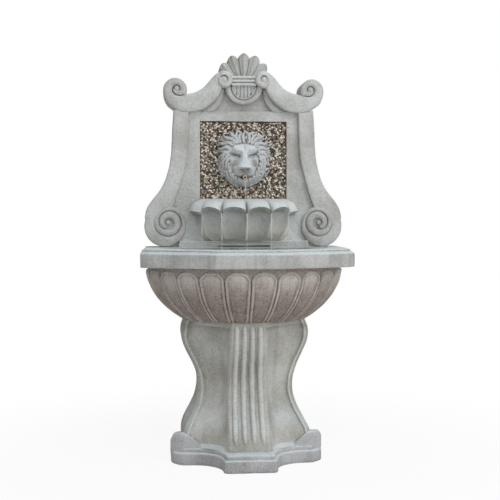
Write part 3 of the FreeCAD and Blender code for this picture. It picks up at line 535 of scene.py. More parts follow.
def plinth_plan(inset):
    """Outline of the plinth drawn in by inset[row]: a front block, quarter-circle scoops and chamfered wings.

    Its corners are worn round by averaging each point with its neighbours a few times.
    """
    angle = linspace(pi, pi / 2, 25)[None]
    scoop = polar((BLOCK_HALF + SCOOP, WING_FRONT - SCOOP), SCOOP + inset, angle)
    corners = [
        pairs(0, BLOCK_FRONT + inset),
        pairs(BLOCK_HALF - inset, BLOCK_FRONT + inset),
        scoop,
        pairs(WING_HALF - CHAMFER - inset, WING_FRONT + inset),
        pairs(WING_HALF - inset, WING_FRONT + CHAMFER + inset),
        pairs(WING_HALF - inset, BACK),
    ]
    places = concatenate([[0, 14], 18 + arange(25), [50, 58, 76]])
    right = spread(concatenate(corners, 1), places, places[-1] + 1)
    left = right[:, ::-1] * [-1, 1]
    seam = linspace(0, 1, 60)[None, 1:-1, None]
    back = right[:, -1:] + (left[:, :1] - right[:, -1:]) * seam
    plan = concatenate([right, back, left[:, :-1]], 1)
    for _ in range(7):
        plan = (np.roll(plan, 1, 1) + 2 * plan + np.roll(plan, -1, 1)) / 4
    return plan


def plinth_skin():
    """The plan carried up a profile: eased foot, upright face, eased edge, a step in and an eased top."""
    z, inset = PLINTH_PROFILE.T[..., None]
    # painted shade at the step's inner corner and along the foot, and painted highlights along the two upper
    # edges
    painted_shading = 0.35 * bell(z, 42.5, 1.2) + 0.3 * bell(z, 0, 6)
    painted_highlight = 0.45 * bell(z, 39.5, 1.5) + 0.45 * bell(z, 55, 2)
    return capped(lifted(plinth_plan(inset), z), painted_shading - painted_highlight)


def wing_pad():
    """Raised pad on the right wing, under the column's rib, as sections carried from the front to the back.

    A section rises along a smooth step, is level, and rounds off along a quarter of an oval to an upright
    side. The front edge is eased by a quarter round, the side follows the wing's chamfer, and behind the rib
    the pad falls to the wing's top along a smooth step.
    """
    y = np.array([-47.5, -47, -45.5, -43, -39, -34, -28, -20, -12, -4, 4, 12, 20, 28, 34])[:, None]
    foot, base, height, easing, chamfer_end = COLUMN_FOOT - 2, 40, 101, 20, -14
    round_wide, round_high = 16, 26
    eased = easing * (1 - sqrt(1 - clip((y[0] + easing - y) / easing, 0, 1) ** 2))
    side = 249 - maximum(0, chamfer_end - y) - eased
    top = height - eased - (height - foot) * ease((y - chamfer_end) / 46)
    start = 142 + 48 * ease((y + 40) / 20)
    brow = minimum(206, side - round_wide - 1)
    t = linspace(0, 1, 14)[None]
    more = t[:, 1:]
    turn = more * pi / 2
    section = [
        pairs(start + (brow - start) * t, foot + (top - foot) * ease(t)),
        pairs(brow + (side - round_wide - brow) * more, top),
        pairs(side - round_wide * (1 - sin(turn)), top - round_high * (1 - cos(turn))),
        pairs(side, base),
    ]
    x, z = np.moveaxis(concatenate(section, 1), -1, 0)
    return capped(stack([x, y + 0 * x, maximum(z, base)], -1), -0.12)


piece("plinth_block", [plinth_skin()], plinth_stone, "cast_stone", "plinth")
piece("plinth_pads", both(wing_pad()), plinth_stone, "cast_stone", "plinth")

# Column: shares of its height, with the half width, the panel's depth and the wings' depth there
STATIONS = np.array([
    (0.00, 214.0, 326.0, 236.0), (0.10, 211.0, 320.0, 230.0), (0.28, 175.5, 272.0, 188.0),
    (0.50, 160.5, 244.0, 162.0), (0.66, 181.0, 256.0, 158.0), (0.81, 210.0, 278.0, 152.0),
    (0.92, 214.0, 284.0, 148.0), (1.00, 203.0, 272.0, 140.0),
])
COLUMN_HEIGHT = BOWL_FOOT - COLUMN_FOOT
COLUMN_WALL = 42
SLOT_HALF = 27
PANEL_STEP = 6
RIB_INSET, RIB_WIDE, RIB_SWELL = 21, 11, 7
RIB_CHAMFER = 12
HEAD_BORDER = 0.945


def column_size(share, which):
    """Half width, depth of the panel or depth of the wings at a share of the column's height."""
    return through(STATIONS[:, 0], STATIONS[:, which], share)


def reed_pitch(share):
    """Distance between the reeds, which close up from the foot to the head."""
    return 30.6 + (25.0 - 30.6) * share


def column_skin():
    """Panel, step, hollow flank, rib, chamfer and side, carried up the stations, round a T-shaped hollow.

    The flank bows in by a fifth of its chord, times four t times one minus t, and a border at the
    head stops the hollow. The ribs bulge forward in the same way.
    """
    share = linspace(0, 1, 78)[:, None]
    side, panel, wing = (column_size(share, k) for k in (1, 2, 3))
    half = reed_pitch(share) * 2 + 3
    panel_y, wing_y = BACK - panel, BACK - wing
    rib_x = side - RIB_INSET

    def run(x0, y0, x1, y1, count, bow=0.0, swell=0.0):
        t = linspace(0, 1, count)[None]
        dx, dy = x1 - x0, y1 - y0
        arch = 4 * t * (1 - t)
        return pairs(x0 + dx * t - dy * bow * arch, y0 + dy * t + dx * bow * arch - swell * arch)

    hollow = 0.207 * (1 - ease((share - HEAD_BORDER) / 0.02)) * ease((share + 0.02) / 0.05)
    step_x, step_y = half + PANEL_STEP, panel_y + PANEL_STEP
    chamfer_x, chamfer_y = rib_x + RIB_WIDE, wing_y + RIB_CHAMFER
    right = concatenate([
        run(0 * side, panel_y, half, panel_y, 16),
        run(half, panel_y, step_x, step_y, 4)[:, 1:],
        run(step_x, step_y, rib_x, wing_y, 30, bow=hollow)[:, 1:],
        run(rib_x, wing_y, chamfer_x, wing_y, 11, swell=RIB_SWELL)[:, 1:],
        run(chamfer_x, wing_y, side, chamfer_y, 5)[:, 1:],
        run(side, chamfer_y, side, BACK, 12)[:, 1:],
    ], 1)
    count = right.shape[1]
    slot_y, shoulder, wide = panel_y + COLUMN_WALL, wing_y + COLUMN_WALL, side - COLUMN_WALL
    corners = [(0, slot_y), (SLOT_HALF, slot_y), (SLOT_HALF, shoulder), (wide, shoulder), (wide, BACK)]
    corners = concatenate([pairs(*corner) for corner in corners], 1)
    hollow_plan = spread(corners, [0, 15, 34, 52, count - 1], count)
    z = COLUMN_FOOT + COLUMN_HEIGHT * share
    outer, inner = (
        lifted(concatenate([plan[:, :0:-1] * [-1, 1], plan], 1), z) for plan in (right, hollow_plan)
    )
    x = np.abs(outer[..., 0])
    # painted shade: a dark line at the head's border, the panel darker towards its middle, dark lines at the
    # step and in the hollow beside each rib, and the sides beyond the chamfer darker; the panel is also
    # darker as dirt; a painted highlight runs along each rib
    border = 0.4 * bell(share, HEAD_BORDER, 0.02) * (x > half)
    panel_shade_and_dirt = 0.22 * (x < half - 6) + 0.45 * (x < half - 14) * bell(share, 0.62, 0.16)
    edges = 0.12 * bell(x, half + 3, 6) + 0.4 * bell(x, rib_x - 3, 5) + 0.3 * ease((x - chamfer_x) / 3)
    shading_and_grime = border + panel_shade_and_dirt + edges - 0.5 * bell(x, rib_x + RIB_WIDE / 2, 5)
    skin = concatenate([outer, inner[:, ::-1]], 1)
    # painted shade: the hollow inside and the ends are darker
    wash = concatenate([shading_and_grime, 0.3 + 0 * shading_and_grime], 1)
    ends = [(stack([outer[k], inner[k]]), 0.1, False) for k in (0, -1)]
    return [(skin, wash, True)] + ends


def reeds():
    """Four half-round reeds down the panel, which narrow to a point at the foot and round off at the head."""
    foot, head = 74, 457
    z = linspace(foot, head - 1, 64)
    share = (z - COLUMN_FOOT) / COLUMN_HEIGHT
    face = (BACK - column_size(share, 2))[:, None]
    point = sqrt(ease((z - foot) / 42)) * sqrt(clip((head - z) / 14, 0, 1))
    size = (8.6 + 1.6 * (1 - share)) * maximum(point, 0.02)
    front = face - size[:, None]
    grids = []
    for index in range(4):
        middle = (index - 1.5) * reed_pitch(share)
        sides = pairs(middle - size, z), pairs(middle + size, z)
        # painted highlight: each reed is painted pale, with painted shade along its edges
        grids.append(ribbon(*sides, front, face + 5, rolled(0.5, 40), 13, shading_and_grime=0.6, base=-0.5))
    return grids


piece("pedestal_shell", column_skin(), column_stone, "cast_stone", "pedestal_column")
piece("pedestal_reeds", reeds(), column_stone, "cast_stone", "pedestal_column")

# Basin: points round its front, and the rim's corners with their places among them
FRONT = 288
TURN = linspace(0, pi, FRONT + 1)[None]
RIM_HALF = 348
RIM_CORNERS = np.array([(RIM_HALF, -73), (323, -98), (113.5, -200)])
RIM_CORNERS = concatenate([RIM_CORNERS, RIM_CORNERS[::-1] * [-1, 1]])
RIM_PLACES = [0, 14, 98, 190, 274, FRONT]
# Ovals of the bowl and of the mouth: half width, reach, middle and the back of each one's inside, and the
# bowl's curve, wall and head
BOWL_HALF, BOWL_REACH, BOWL_MIDDLE = 334, 285, 100
BOWL_CURVE, BOWL_WALL, BOWL_BACK, BOWL_HEAD = 233, 40, 170, 640
MOUTH_HALF, MOUTH_REACH, MOUTH_MIDDLE, MOUTH_BACK = 285, 215, 80, 85
# Profiles as heights, and how far the neck grows, the rim is drawn in and the mouth opens there
NECK = np.array([(BOWL_HEAD, 0.9), (641.5, 2.5), (645.5, 2.5), (RIM_FOOT, 1.9)])
RIM = np.array([
    (RIM_FOOT, 4), (647.4, 1.6), (649.2, 0.3), (652, 0), (662, 0), (672, 0), (682, 0), (689, 0),
    (691.4, 0.5), (692.6, 1.8), (698.2, 9), (698.9, 11), (699.2, 13), (702, 13), (704.6, 13.5), (705.7, 15),
    (RIM_TOP, 17.5),
])
MOUTH = np.array([(RIM_TOP, 4), (705.4, 1.6), (703.5, 0.3), (700, 0), (684, 0), (665, 0), (648, 0)])
GADROONS = 12
DRAIN_Y, DRAIN_RADIUS = 30, 14.4
# Bores for the pump's cord and for the hose: start, end and radius
CORD_BORE = (110, 160, 596), (110, 210, 596), 11.2
HOSE_BORE = (-9, 150, 630), (-9, 150, 720), 13


def half_oval(half, reach, middle):
    """Front half of an oval: the half width times the cosine, and middle less the reach times the sine."""
    return pairs(half * cos(TURN), middle - reach * sin(TURN))


def rim_front(inset):
    """The rim's five fronts with small chamfers, drawn in about the middle of the wall by inset[row]."""
    middle = np.array([0, BACK])
    corners = middle + (RIM_CORNERS - middle) * (1 - inset[..., None] / RIM_HALF)
    return spread(corners, RIM_PLACES, FRONT + 1)


def basin_ring(front, back, z):
    """Closed rings: the front curve, then straight sides to the back plane and a straight back."""
    t = linspace(0, 1, 9)[None, 1:, None]
    start, end = front[:, :1], front[:, -1:]
    right, left = (pairs(side[..., 0], back) for side in (start, end))
    across = left + (right - left) * linspace(0, 1, 25)[None, 1:, None]
    ring = concatenate([front, end + (left - end) * t, across, right + (start - right) * t[:, :-1]], 1)
    return lifted(ring, z)


def gadroons(z, half):
    """Sunk depth of the bowl's tongues at height z, and the light and shade painted there.

    In each cell inside is the distance in from the tongue's outline, whose head is half an oval. From
    the outline in, the surface is a groove, a rounded fillet, a second groove and a swelling tongue.
    """
    across = np.abs((TURN / pi * GADROONS % 1) * 2 - 1)
    wide = half * pi / GADROONS / 2
    head_z, head_rise, second_at = 606, 30, 11.0
    inside = (1 - hypot(across, maximum(z - head_z, 0) / head_rise)) * wide
    groove = 1 - ease(inside / 3.4)
    tongue = (1 - ease((inside - second_at) / 24)) * ease((inside - 9) / 3)
    sunk = clip(7.5 * groove + 3.4 * bell(inside, second_at, 1.9) + 2.2 * tongue, 0, 9)
    # painted shade in the grooves, between the tongues' heads and darker towards the bottom, where the bowl
    # turns under; painted highlights on the tongues' upper parts and on the fillets
    lower = 0.55 * ease((622 - z) / 70) * ease((inside - 8) / 5) + 0.3 * ease((600 - z) / 100)
    pale = 0.34 * bell(z, 622, 18) * ease((inside - 9) / 4) + 0.2 * bell(inside, 6.5, 2.6)
    painted_shading = 0.85 * groove + 0.6 * bell(inside, second_at, 2.4) + lower - pale
    return sunk, clip(np.where(inside < 0, 0.55, painted_shading), -0.5, 1)


def basin_skin():
    """The whole casting as one run of rings: out of the drain hole, up the gadrooned bowl and over the
    rim, down the mouth, under the ledge and down the inside of the bowl to the drain hole again.

    A ring of the bowl is an oval times the root of one less the squared depth, in curves.
    """
    rows, painted_light_rows = [], []

    def add(front, back, z, wash):
        rows.append(basin_ring(front, back, z))
        tail = rows[-1].shape[1] - front.shape[1]
        painted_light_rows.append(np.pad(np.broadcast_to(wash, front.shape[:2]), ((0, 0), (0, tail)), mode="edge"))

    def drain(ring):
        angle = np.arctan2(ring[:, 1] - DRAIN_Y, ring[:, 0])
        return concatenate([polar((0, DRAIN_Y), DRAIN_RADIUS, angle), ring[:, 2:]], 1)[None]

    z = linspace(BOWL_FOOT, BOWL_HEAD, 64)[:, None]
    share = sqrt(1 - ((RIM_FOOT - z) / BOWL_CURVE) ** 2)
    mean_half = 310
    sunk, painted_shading = gadroons(z, mean_half * share)
    add(half_oval(BOWL_HALF * share - sunk, BOWL_REACH * share - sunk, BOWL_MIDDLE), BACK, z, painted_shading)
    z, grow = NECK.T[..., None]
    # painted shade: the neck under the rim is dark
    add(half_oval(BOWL_HALF + grow, BOWL_REACH + grow, BOWL_MIDDLE), BACK, z, 0.7)
    z, inset = RIM.T[..., None]
    # painted shade on the step's riser and at the rim's foot, and painted highlight on its top and along a
    # band of its face
    edge = 0.2 * bell(z, 699, 0.8) + 0.35 * bell(z, RIM_FOOT, 2)
    add(rim_front(inset), BACK, z, edge - 0.7 * ease((z - 701) / 4) - 0.5 * bell(z, 694, 3))
    z, open_by = MOUTH.T[..., None]
    front = half_oval(MOUTH_HALF + open_by, MOUTH_REACH + open_by, MOUTH_MIDDLE)
    # painted shade down inside the mouth, with a painted highlight along its upper edge
    add(front, MOUTH_BACK, z, 0.25 - 0.95 * ease((z - 702) / 3))
    z = RIM_FOOT - (RIM_FOOT - BOWL_FLOOR) * linspace(0.004, 1, 22)[:, None]
    share = sqrt(1 - ((RIM_FOOT - z) / (BOWL_CURVE - BOWL_WALL)) ** 2)
    half, reach = (BOWL_HALF - BOWL_WALL) * share, (BOWL_REACH - BOWL_WALL) * share
    # painted shade: the inside of the bowl is darker
    add(half_oval(half, reach, BOWL_MIDDLE), BOWL_BACK, z, 0.35)
    rings = concatenate(rows)
    below, above = drain(rings[0]), drain(rings[-1])
    shading_and_grime = np.pad(concatenate(painted_light_rows), ((2, 1), (0, 0)), mode="edge")
    return concatenate([above, below, rings, above]), shading_and_grime, True


def bored(item, *bores):
    """Cuts round holes through a piece: each bore is a start, an end and a radius in millimetres."""
    for start, end, radius in bores:
        start, end = Vector(start) * MM, Vector(end) * MM
        ends = {"radius1": radius * MM, "radius2": radius * MM, "depth": (end - start).length}
        tool = bmesh.new()
        bmesh.ops.create_cone(tool, cap_ends=True, segments=36, **ends)
        turn = (end - start).to_track_quat("Z", "Y").to_matrix().to_4x4()
        turn.translation = (start + end) / 2
        bmesh.ops.transform(tool, matrix=turn, verts=tool.verts)
        mesh = bpy.data.meshes.new("bore")
        tool.to_mesh(mesh)
        tool.free()
        cutter = shown("bore", mesh)
        cut = item.modifiers.new("bore", "BOOLEAN")
        cut.operation, cut.solver, cut.object = "DIFFERENCE", "EXACT", cutter
        bpy.context.view_layer.update()
        result = item.evaluated_get(bpy.context.evaluated_depsgraph_get())
        result = bpy.data.meshes.new_from_object(result)
        item.modifiers.clear()
        item.data = result
        bpy.data.objects.remove(cutter)


basin = piece("basin_casting", [basin_skin()], bowl_stone, "bowl_stone", "basin")
bored(basin, CORD_BORE, HOSE_BORE)
basin.data.materials.append(rim_stone)
centres = np.empty(len(basin.data.polygons) * 3)
basin.data.polygons.foreach_get("center", centres)
basin.data.polygons.foreach_set("material_index", (centres[2::3] > RIM_FOOT * MM).astype(np.int32))

# Backsplash: half widths of its field at heights, the window, the head's foot and the hose's channel
FIELD_SIDE = [(RIM_TOP, 255), (816, 262), (896, 240), (1016, 210), (1162, 205), (1260, 80), (1284, 6)]
WINDOW_HALF = 148
HEAD_FOOT = 1167
CHANNEL_HALF = 21
LAP = 1
# Edges of the pilaster and of the scroll arm, as points across and up, and the eyes of their scrolls
PILASTER_OUTER = [
    (238, 1169), (242, 1109), (249, 1003), (263, 944), (281, 904), (308, 869), (329, 837), (337, 799),
]
PILASTER_INNER = [(185, 1165), (188, 1060), (195, 991), (210, 931), (226, 877), (239, 842)]
PILASTER_EYE = 257, 788
PILASTER_RADII = [52.8, 47.5, 46.5, 45, 41.5, 32.5, 24, 19, 15, 10.5, 7.6]
ARM_UPPER = [(82, 1299), (98, 1288), (114, 1271), (128, 1254), (145, 1240), (165, 1230), (186, 1225)]
ARM_LOWER = [
    (73, 1242), (87, 1213), (108, 1190), (132, 1173), (160, 1164), (193, 1161), (226, 1167), (246, 1180),
]
CREST_EYE = 67.5, 1272
END_EYE = 226, 1240
SHIELD_TOP = 1248


def field_side(z):
    """Half width of the field at height z, along straight lines hidden under the scrolls."""
    return np.interp(z, *zip(*FIELD_SIDE))


def slab(left, right, low, high, front, back, edge=2.0, shading_and_grime=0.0):
    """Upright slab between two edges, each a number or a function of the height."""
    z = linspace(low, high, max(3, int((high - low) / 14) + 2))
    sides = [pairs(side(z) if callable(side) else side, z) for side in (left, right)]
    return ribbon(*sides, front, back, eased_edge(edge), 17, shading_and_grime=shading_and_grime)


def field_grids():
    """Sill, jambs, web, head and the back either side of the hose's channel."""
    def left(z):
        return -field_side(z)

    rear, web = BACK - 0.6, WINDOW_HALF + 2
    sill, wash, loop = slab(left, field_side, RIM_TOP, WINDOW_LOW, FIELD, 137)
    grids = [
        # painted light: the sill is painted paler around 765 mm, where the shell shades it
        (sill, wash - 0.85 * bell(sill[..., 2], 765, 60), loop),
        slab(left, field_side, WINDOW_HIGH, HEAD_FOOT, FIELD, rear),
        # painted shade along the head's edges
        slab(left, field_side, HEAD_FOOT - LAP, 1282, 128, rear, shading_and_grime=0.2),
        slab(-web, web, 852, 1136, 142, 162),
        slab(-web, web, 990, 1136, 150, rear),
    ]
    grids += both(
        slab(CHANNEL_HALF, field_side, RIM_TOP, WINDOW_LOW, 130, rear),
        slab(WINDOW_HALF, field_side, WINDOW_LOW - LAP, WINDOW_HIGH + LAP, FIELD, rear),
        slab(CHANNEL_HALF, web, WINDOW_LOW - LAP, 992, 150, rear),
    )
    inner = along([(99, HEAD_FOOT), (81, 1185), (69.5, 1208), (65, 1240)], 24)
    outer = along([(144, HEAD_FOOT), (118, 1187), (97, 1210), (84, 1240)], 24)
    # painted shade along the strips' edges
    return grids + both(ribbon(inner, outer, FIELD - 7, 140, rolled(0.3, 7), 13, shading_and_grime=0.6))


def rail_grids():
    """Rail at the panel's foot in two strips, with the weep slot left open under its middle."""
    def strip(x0, x1, low, high, front, edge):
        x = linspace(x0, x1, 40)
        # painted light: the strips are painted pale under the shell's shade, with painted shade along their
        # edges
        return ribbon(pairs(x, low), pairs(x, high), front, 140, eased_edge(edge), 13, shading_and_grime=0.35, base=-0.4)

    grids = [strip(-221, 221, 711, 719.5, 90, 1.6), strip(-219, 219, 719, 727, 93.5, 3.5)]
    return grids + both(strip(88, 221, RIM_TOP, 711.5, 90, 1.4))


def pilaster_grids():
    """Flat pilaster, rolled up at its foot: its inner edge runs into a spiral, its outer round a disc."""
    def reach(t):
        return through(arange(len(PILASTER_RADII)) / 4, PILASTER_RADII, t)

    inner, outer = curl(PILASTER_EYE, 108.8, reach, 2.5, (267, 777), 70.5, (17, -248), -1, 250)
    first = concatenate([along(PILASTER_OUTER, 52)[:-1], outer])
    last = concatenate([along(PILASTER_INNER, 52)[:-1], inner])
    roll = ease((arange(len(first)) - 60) / 70)[:, None]

    def section(s, width):
        return eased_edge(5)(s, width) * (1 - roll) + (rolled(0.26, 9)(s, width) - 2.5) * roll

    # painted shade along the band's edges
    band = ribbon(first, last, 100, BACK - 1.5, section, 19, groove=0.7, shading_and_grime=0.5)
    return both(band, button(PILASTER_EYE, 7.5, 100, 5, 150), button((265, 778), 66, 112, 2, BACK))


def arm_grids():
    """Scroll arm of round section: its upper edge rounds the crest's scroll, its lower the end scroll."""
    crest = curl(CREST_EYE, -80, dying(30.5, 9.5, 3.6), 1.3, CREST_EYE, 30.5, (62, 280), 1, 130)
    end = curl(END_EYE, 212, dying(33, 8, 3.6), 1.35, (232, 1235.5), 40.5, (-66, 212), 1, 150, flare=14)
    upper = concatenate([crest[1][:0:-1], along(ARM_UPPER, 40), end[0][1:]])
    lower = concatenate([crest[0][:0:-1], along(ARM_LOWER, 40), end[1][1:]])
    front = 92 - 8 * ease((138 - arange(len(upper))) / 24)[:, None]

    def section(s, width):
        return np.where(s < 0.5, rolled(0.40, 18)(s, width), rolled(0.25, 9)(s, width))

    # painted shade along the arm's edges, and the arm painted a little pale as a highlight
    band = ribbon(upper, lower, front, BACK - 1.5, section, 19, groove=0.6, shading_and_grime=0.6, base=-0.15)
    eyes = [button((68.5, 1269.5), 12, 90, 5, 150), button((227, 1239), 9, 98, 6, 150)]
    discs = [button(CREST_EYE, 28, 99, 1, BACK), button((231, 1236), 38, 110, 1, BACK)]
    return both(band, *eyes, *discs)


def crest_grids():
    """Palmette of five petals behind a reeded band.

    A petal widens in step with its length up to a knee, and closes along a rounded tip. Across it are a
    ridge and two grooves, as bells. The backs lie at different depths, so that no two share a plane.
    """
    root, knee = np.array([0, 1236.0]), 0.84
    v = 0.2 + 0.8 * sin(linspace(0, pi / 2, 34))
    swell = 22.8 * minimum(v, knee) * sqrt(1 - clip((v - knee) / (1 - knee), 0, 1) ** 1.8)
    swell = maximum(swell, 0.4)[:, None]

    def section(s, width):
        grooves = bell(s, 0.27, 0.08) + bell(s, 0.73, 0.08)
        return rolled(0.5, 11)(s, width) - 3.2 * bell(s, 0.5, 0.1) + 2.6 * grooves

    grids = []
    for index, length in enumerate((116, 124, 125, 124, 116)):
        lean, rank = radians(20 * (index - 2)), abs(index - 2)
        spine = root + v[:, None] * length * np.array([sin(lean), cos(lean)])
        half = swell * np.array([cos(lean), -sin(lean)])
        places = 100 + 1.5 * rank, BACK - 0.2 - 0.3 * rank
        # painted shade along the petals' edges, and a little over them
        grids.append(ribbon(spine - half, spine + half, *places, section, 21, shading_and_grime=0.7, base=0.12))
    x = linspace(-41, 41, 24)
    for index in range(3):
        low, high = (pairs(x, 1249.5 + 12.2 * (index + k)) for k in (0, 1))
        # painted highlight on the reeded bands, with painted shade between them
        band = ribbon(low, high, 95, BACK - 3, rolled(0.6, 7), 13, groove=0.8, shading_and_grime=0.9, base=-0.5)
        grids.append(band)
    return grids + [slab(-52, 52, 1246, 1296, 126, BACK - 0.8)]


def shield_grids():
    """Half-round shield: a broad border along a half oval, a thin rim inside it and six upright flutes."""
    angle = linspace(pi, 2 * pi, 60)
    rear = BACK - 3

    def half_ring(half, fall):
        return pairs(half * cos(angle), SHIELD_TOP + fall * sin(angle))

    # painted shade along each band's edges, and a painted highlight on the thin rim
    grids = [
        ribbon(half_ring(64, 60), half_ring(42, 44), 103, rear, rolled(0.3, 6), 15, shading_and_grime=0.7),
        ribbon(half_ring(41, 43), half_ring(36, 38), 101, rear, rolled(0.5, 3), 11, shading_and_grime=0.6, base=-0.35),
    ]
    reach = 37
    edges = linspace(-36.5, 36.5, 7)
    for left, right in zip(edges, edges[1:]):
        middle = (left + right) / 2
        foot = SHIELD_TOP - reach * sqrt(max(0.04, 1 - (middle / reach) ** 2))
        z = linspace(foot, SHIELD_TOP + 3, 20)
        sides = pairs(left, z), pairs(right, z)
        # painted shade along the flutes' edges
        grids.append(ribbon(*sides, 106, rear, rolled(0.32, 4), 11, groove=0.15, shading_and_grime=0.3))
    return grids


backsplash = {
    "field": field_grids(), "rail": rail_grids(), "pilasters": pilaster_grids(),
    "arms": arm_grids(), "crest": crest_grids(), "shield": shield_grids(),
}
for part, part_grids in backsplash.items():
    piece(f"backsplash_{part}", part_grids, panel_stone, "cast_stone", "backsplash")

# Mask: rows of locks, with how many, where they start and end between face and outline, half width and height
LOCKS = [(33, 0.30, 1.02, 7.6, 6.0), (31, 0.06, 0.84, 6.6, 12.0), (30, 0.02, 0.56, 5.2, 15.0)]
# Large locks of the right side, as points from the root to the tip, across and up from the mask's middle
SWEEPS = np.array([
    [(20, 61), (30, 79), (41, 86), (45, 99)],
    [(30, 56), (46, 73), (59, 74), (69, 87)],
    [(38, 47), (57, 61), (72, 57), (86, 64)],
    [(45, 34), (63, 45), (78, 37), (91, 41)],
    [(48, 18), (65, 26), (78, 15), (89, 14)],
    [(49, 2), (64, 7), (75, -8), (86, -16)],
], float)


def mask_outline(angle):
    """Reach of the mane across and up at an angle from the top: an oval with fuller upper corners."""
    return 88 + 10 * bell(np.abs(angle), 0.9, 0.45), 97 + 9 * cos(angle)


def lion_face(x, z):
    """Relief of the face over its dome at x across and z above its middle, and the light and shade painted on
    it.

    It is a sum of bells, and of flat-topped humps that fall off as the fourth power.
    """
    side = np.abs(x)
    half = np.interp(z, [-26, -15, 7, 24], [23.5, 22.5, 17.5, 10])
    bridge = hump(side, half) * ease((z + 30) / 6) * ease((48 - z) / 42)
    brow = bell(side, 27, 21) * bell(z, 38 + 0.2 * (side - 25), 11)
    forehead = bell(side, 0, 42) * bell(z, 50, 12)
    furrow = bell(side, 0, 4) * bell(z, 42, 15)
    eye_line = 17.5 + 0.3 * (side - 30)
    socket = bell(side, 33, 15) * bell(z, eye_line - 3, 8.5)
    eyeball = bell(side, 34, 9) * bell(z, eye_line - 5, 3.6)
    slit = bell(side, 31, 14) * bell(z, eye_line + 2, 3.6)
    corner = bell(side, 16, 5) * bell(z, 11, 7)
    cheek = bell(side, 39, 11) * bell(z, -2, 13)
    crease = bell(side, 32 - 0.1 * (z + 10), 8) * ease((z + 30) / 12) * ease((10 - z) / 14)
    muzzle = hump(side, 34) * hump(z + 39, 17)
    nose = hump(side, 20) * bell(z, -23, 5)
    leather = hump(side, 21) * hump(z + 37, 11)
    nostril = bell(side, 10, 3.5) * bell(z, -31, 3)
    mouth = bell(z, -57 + 0.006 * side ** 2, 2.6) * ease((38 - side) / 10)
    lip = bell(z, -62, 4) * hump(side, 26)
    chin = bell(side, 0, 24) * bell(z, -72, 9)
    spout = hump(hypot(x / 12, (z + 58) / 9), 1)
    jowl = bell(side, 40 - 0.12 * (z + 30), 4) * ease((-8 - z) / 10) * ease((z + 58) / 10)
    raised = 20 * bridge + 13 * brow + 6 * eyeball + 6 * cheek + 24 * muzzle + 6 * nose + 7 * lip + 12 * chin
    sunk = 4.5 * furrow + 13 * socket + 6 * slit + 6 * corner + 5 * crease
    sunk = sunk + 5 * leather + 4 * nostril + 5 * mouth + 12 * spout + 3 * jowl
    # painted shade: dark in the sockets, eye slits, inner corners, creases, nose leather, nostrils, mouth,
    # spout, jowls, furrow and muzzle, and a little across the middle of the face
    dark = 0.45 * slit + 0.72 * socket + 0.9 * corner + 0.38 * crease + 0.72 * leather + 0.4 * nostril
    dark = dark + 0.6 * mouth + 0.2 * spout + 0.28 * jowl + 0.25 * furrow + 0.08 * muzzle
    # painted highlight: pale on the bridge, brow, eyeballs, lip, forehead and chin
    pale = 0.95 * bridge + 0.75 * brow + 0.15 * eyeball + 0.4 * lip + 0.6 * forehead + 0.2 * chin
    return raised - sunk, dark + 0.06 * bell(z, -4, 16) - pale


def mask_skin():
    """Relief on a polar grid: a dome with the face in its middle, and a plain ground under the mane, painted
    dark as shade.
    """
    share = linspace(0, 1, 120)[:, None] ** 0.85
    angle = linspace(-pi, pi, 301)[None, :-1]
    across, up = mask_outline(angle)
    x, z = 0.9 * share * across * sin(angle), 0.9 * share * up * cos(angle)
    dome = 8 + 34 * clip(1 - share ** 2.6, 0, 1) ** 0.65
    face, dark = lion_face(x, z)
    power = 2.6
    inside = (np.abs(x / (51 + 0.09 * z)) ** power + np.abs((z + 4) / 63) ** power) ** (1 / power)
    mane = ease((inside - 0.93) / 0.12)
    depth = clip(dome + face * (1 - mane) - 5 * mane, 4, 79)
    # painted shade: the ground under the mane is dark, and the face carries its own painted light and shade
    shading_and_grime = clip(dark * (1 - mane) + 0.9 * mane, -0.7, 1)
    front = stack([x, BED - depth, MASK_Z + z], -1)
    rear = BED + 3 + 0 * x[0]
    edge = stack([x[-1] * 1.005, rear, MASK_Z + z[-1]], -1)
    middle = stack([0 * rear, rear, MASK_Z + 0 * rear], -1)
    skin = concatenate([front, edge[None], middle[None]])
    return skin, np.pad(shading_and_grime, ((0, 2), (0, 0)), mode="edge"), True


def lock(path, wide, front, most):
    """Lock of hair along a path, with a half width and a front at each point, round across."""
    heading = np.gradient(path, axis=0)
    normal = pairs(-heading[:, 1], heading[:, 0]) / hypot(*heading.T)[:, None]
    edge = normal * (wide + 0.25)[:, None]
    sides = path - edge, path + edge
    # painted shade along each lock's edges, between the locks, and a painted highlight along its top
    return ribbon(*sides, front[:, None], BED + 2, rolled(0.62, most), 11, shading_and_grime=1.6, base=-0.76)


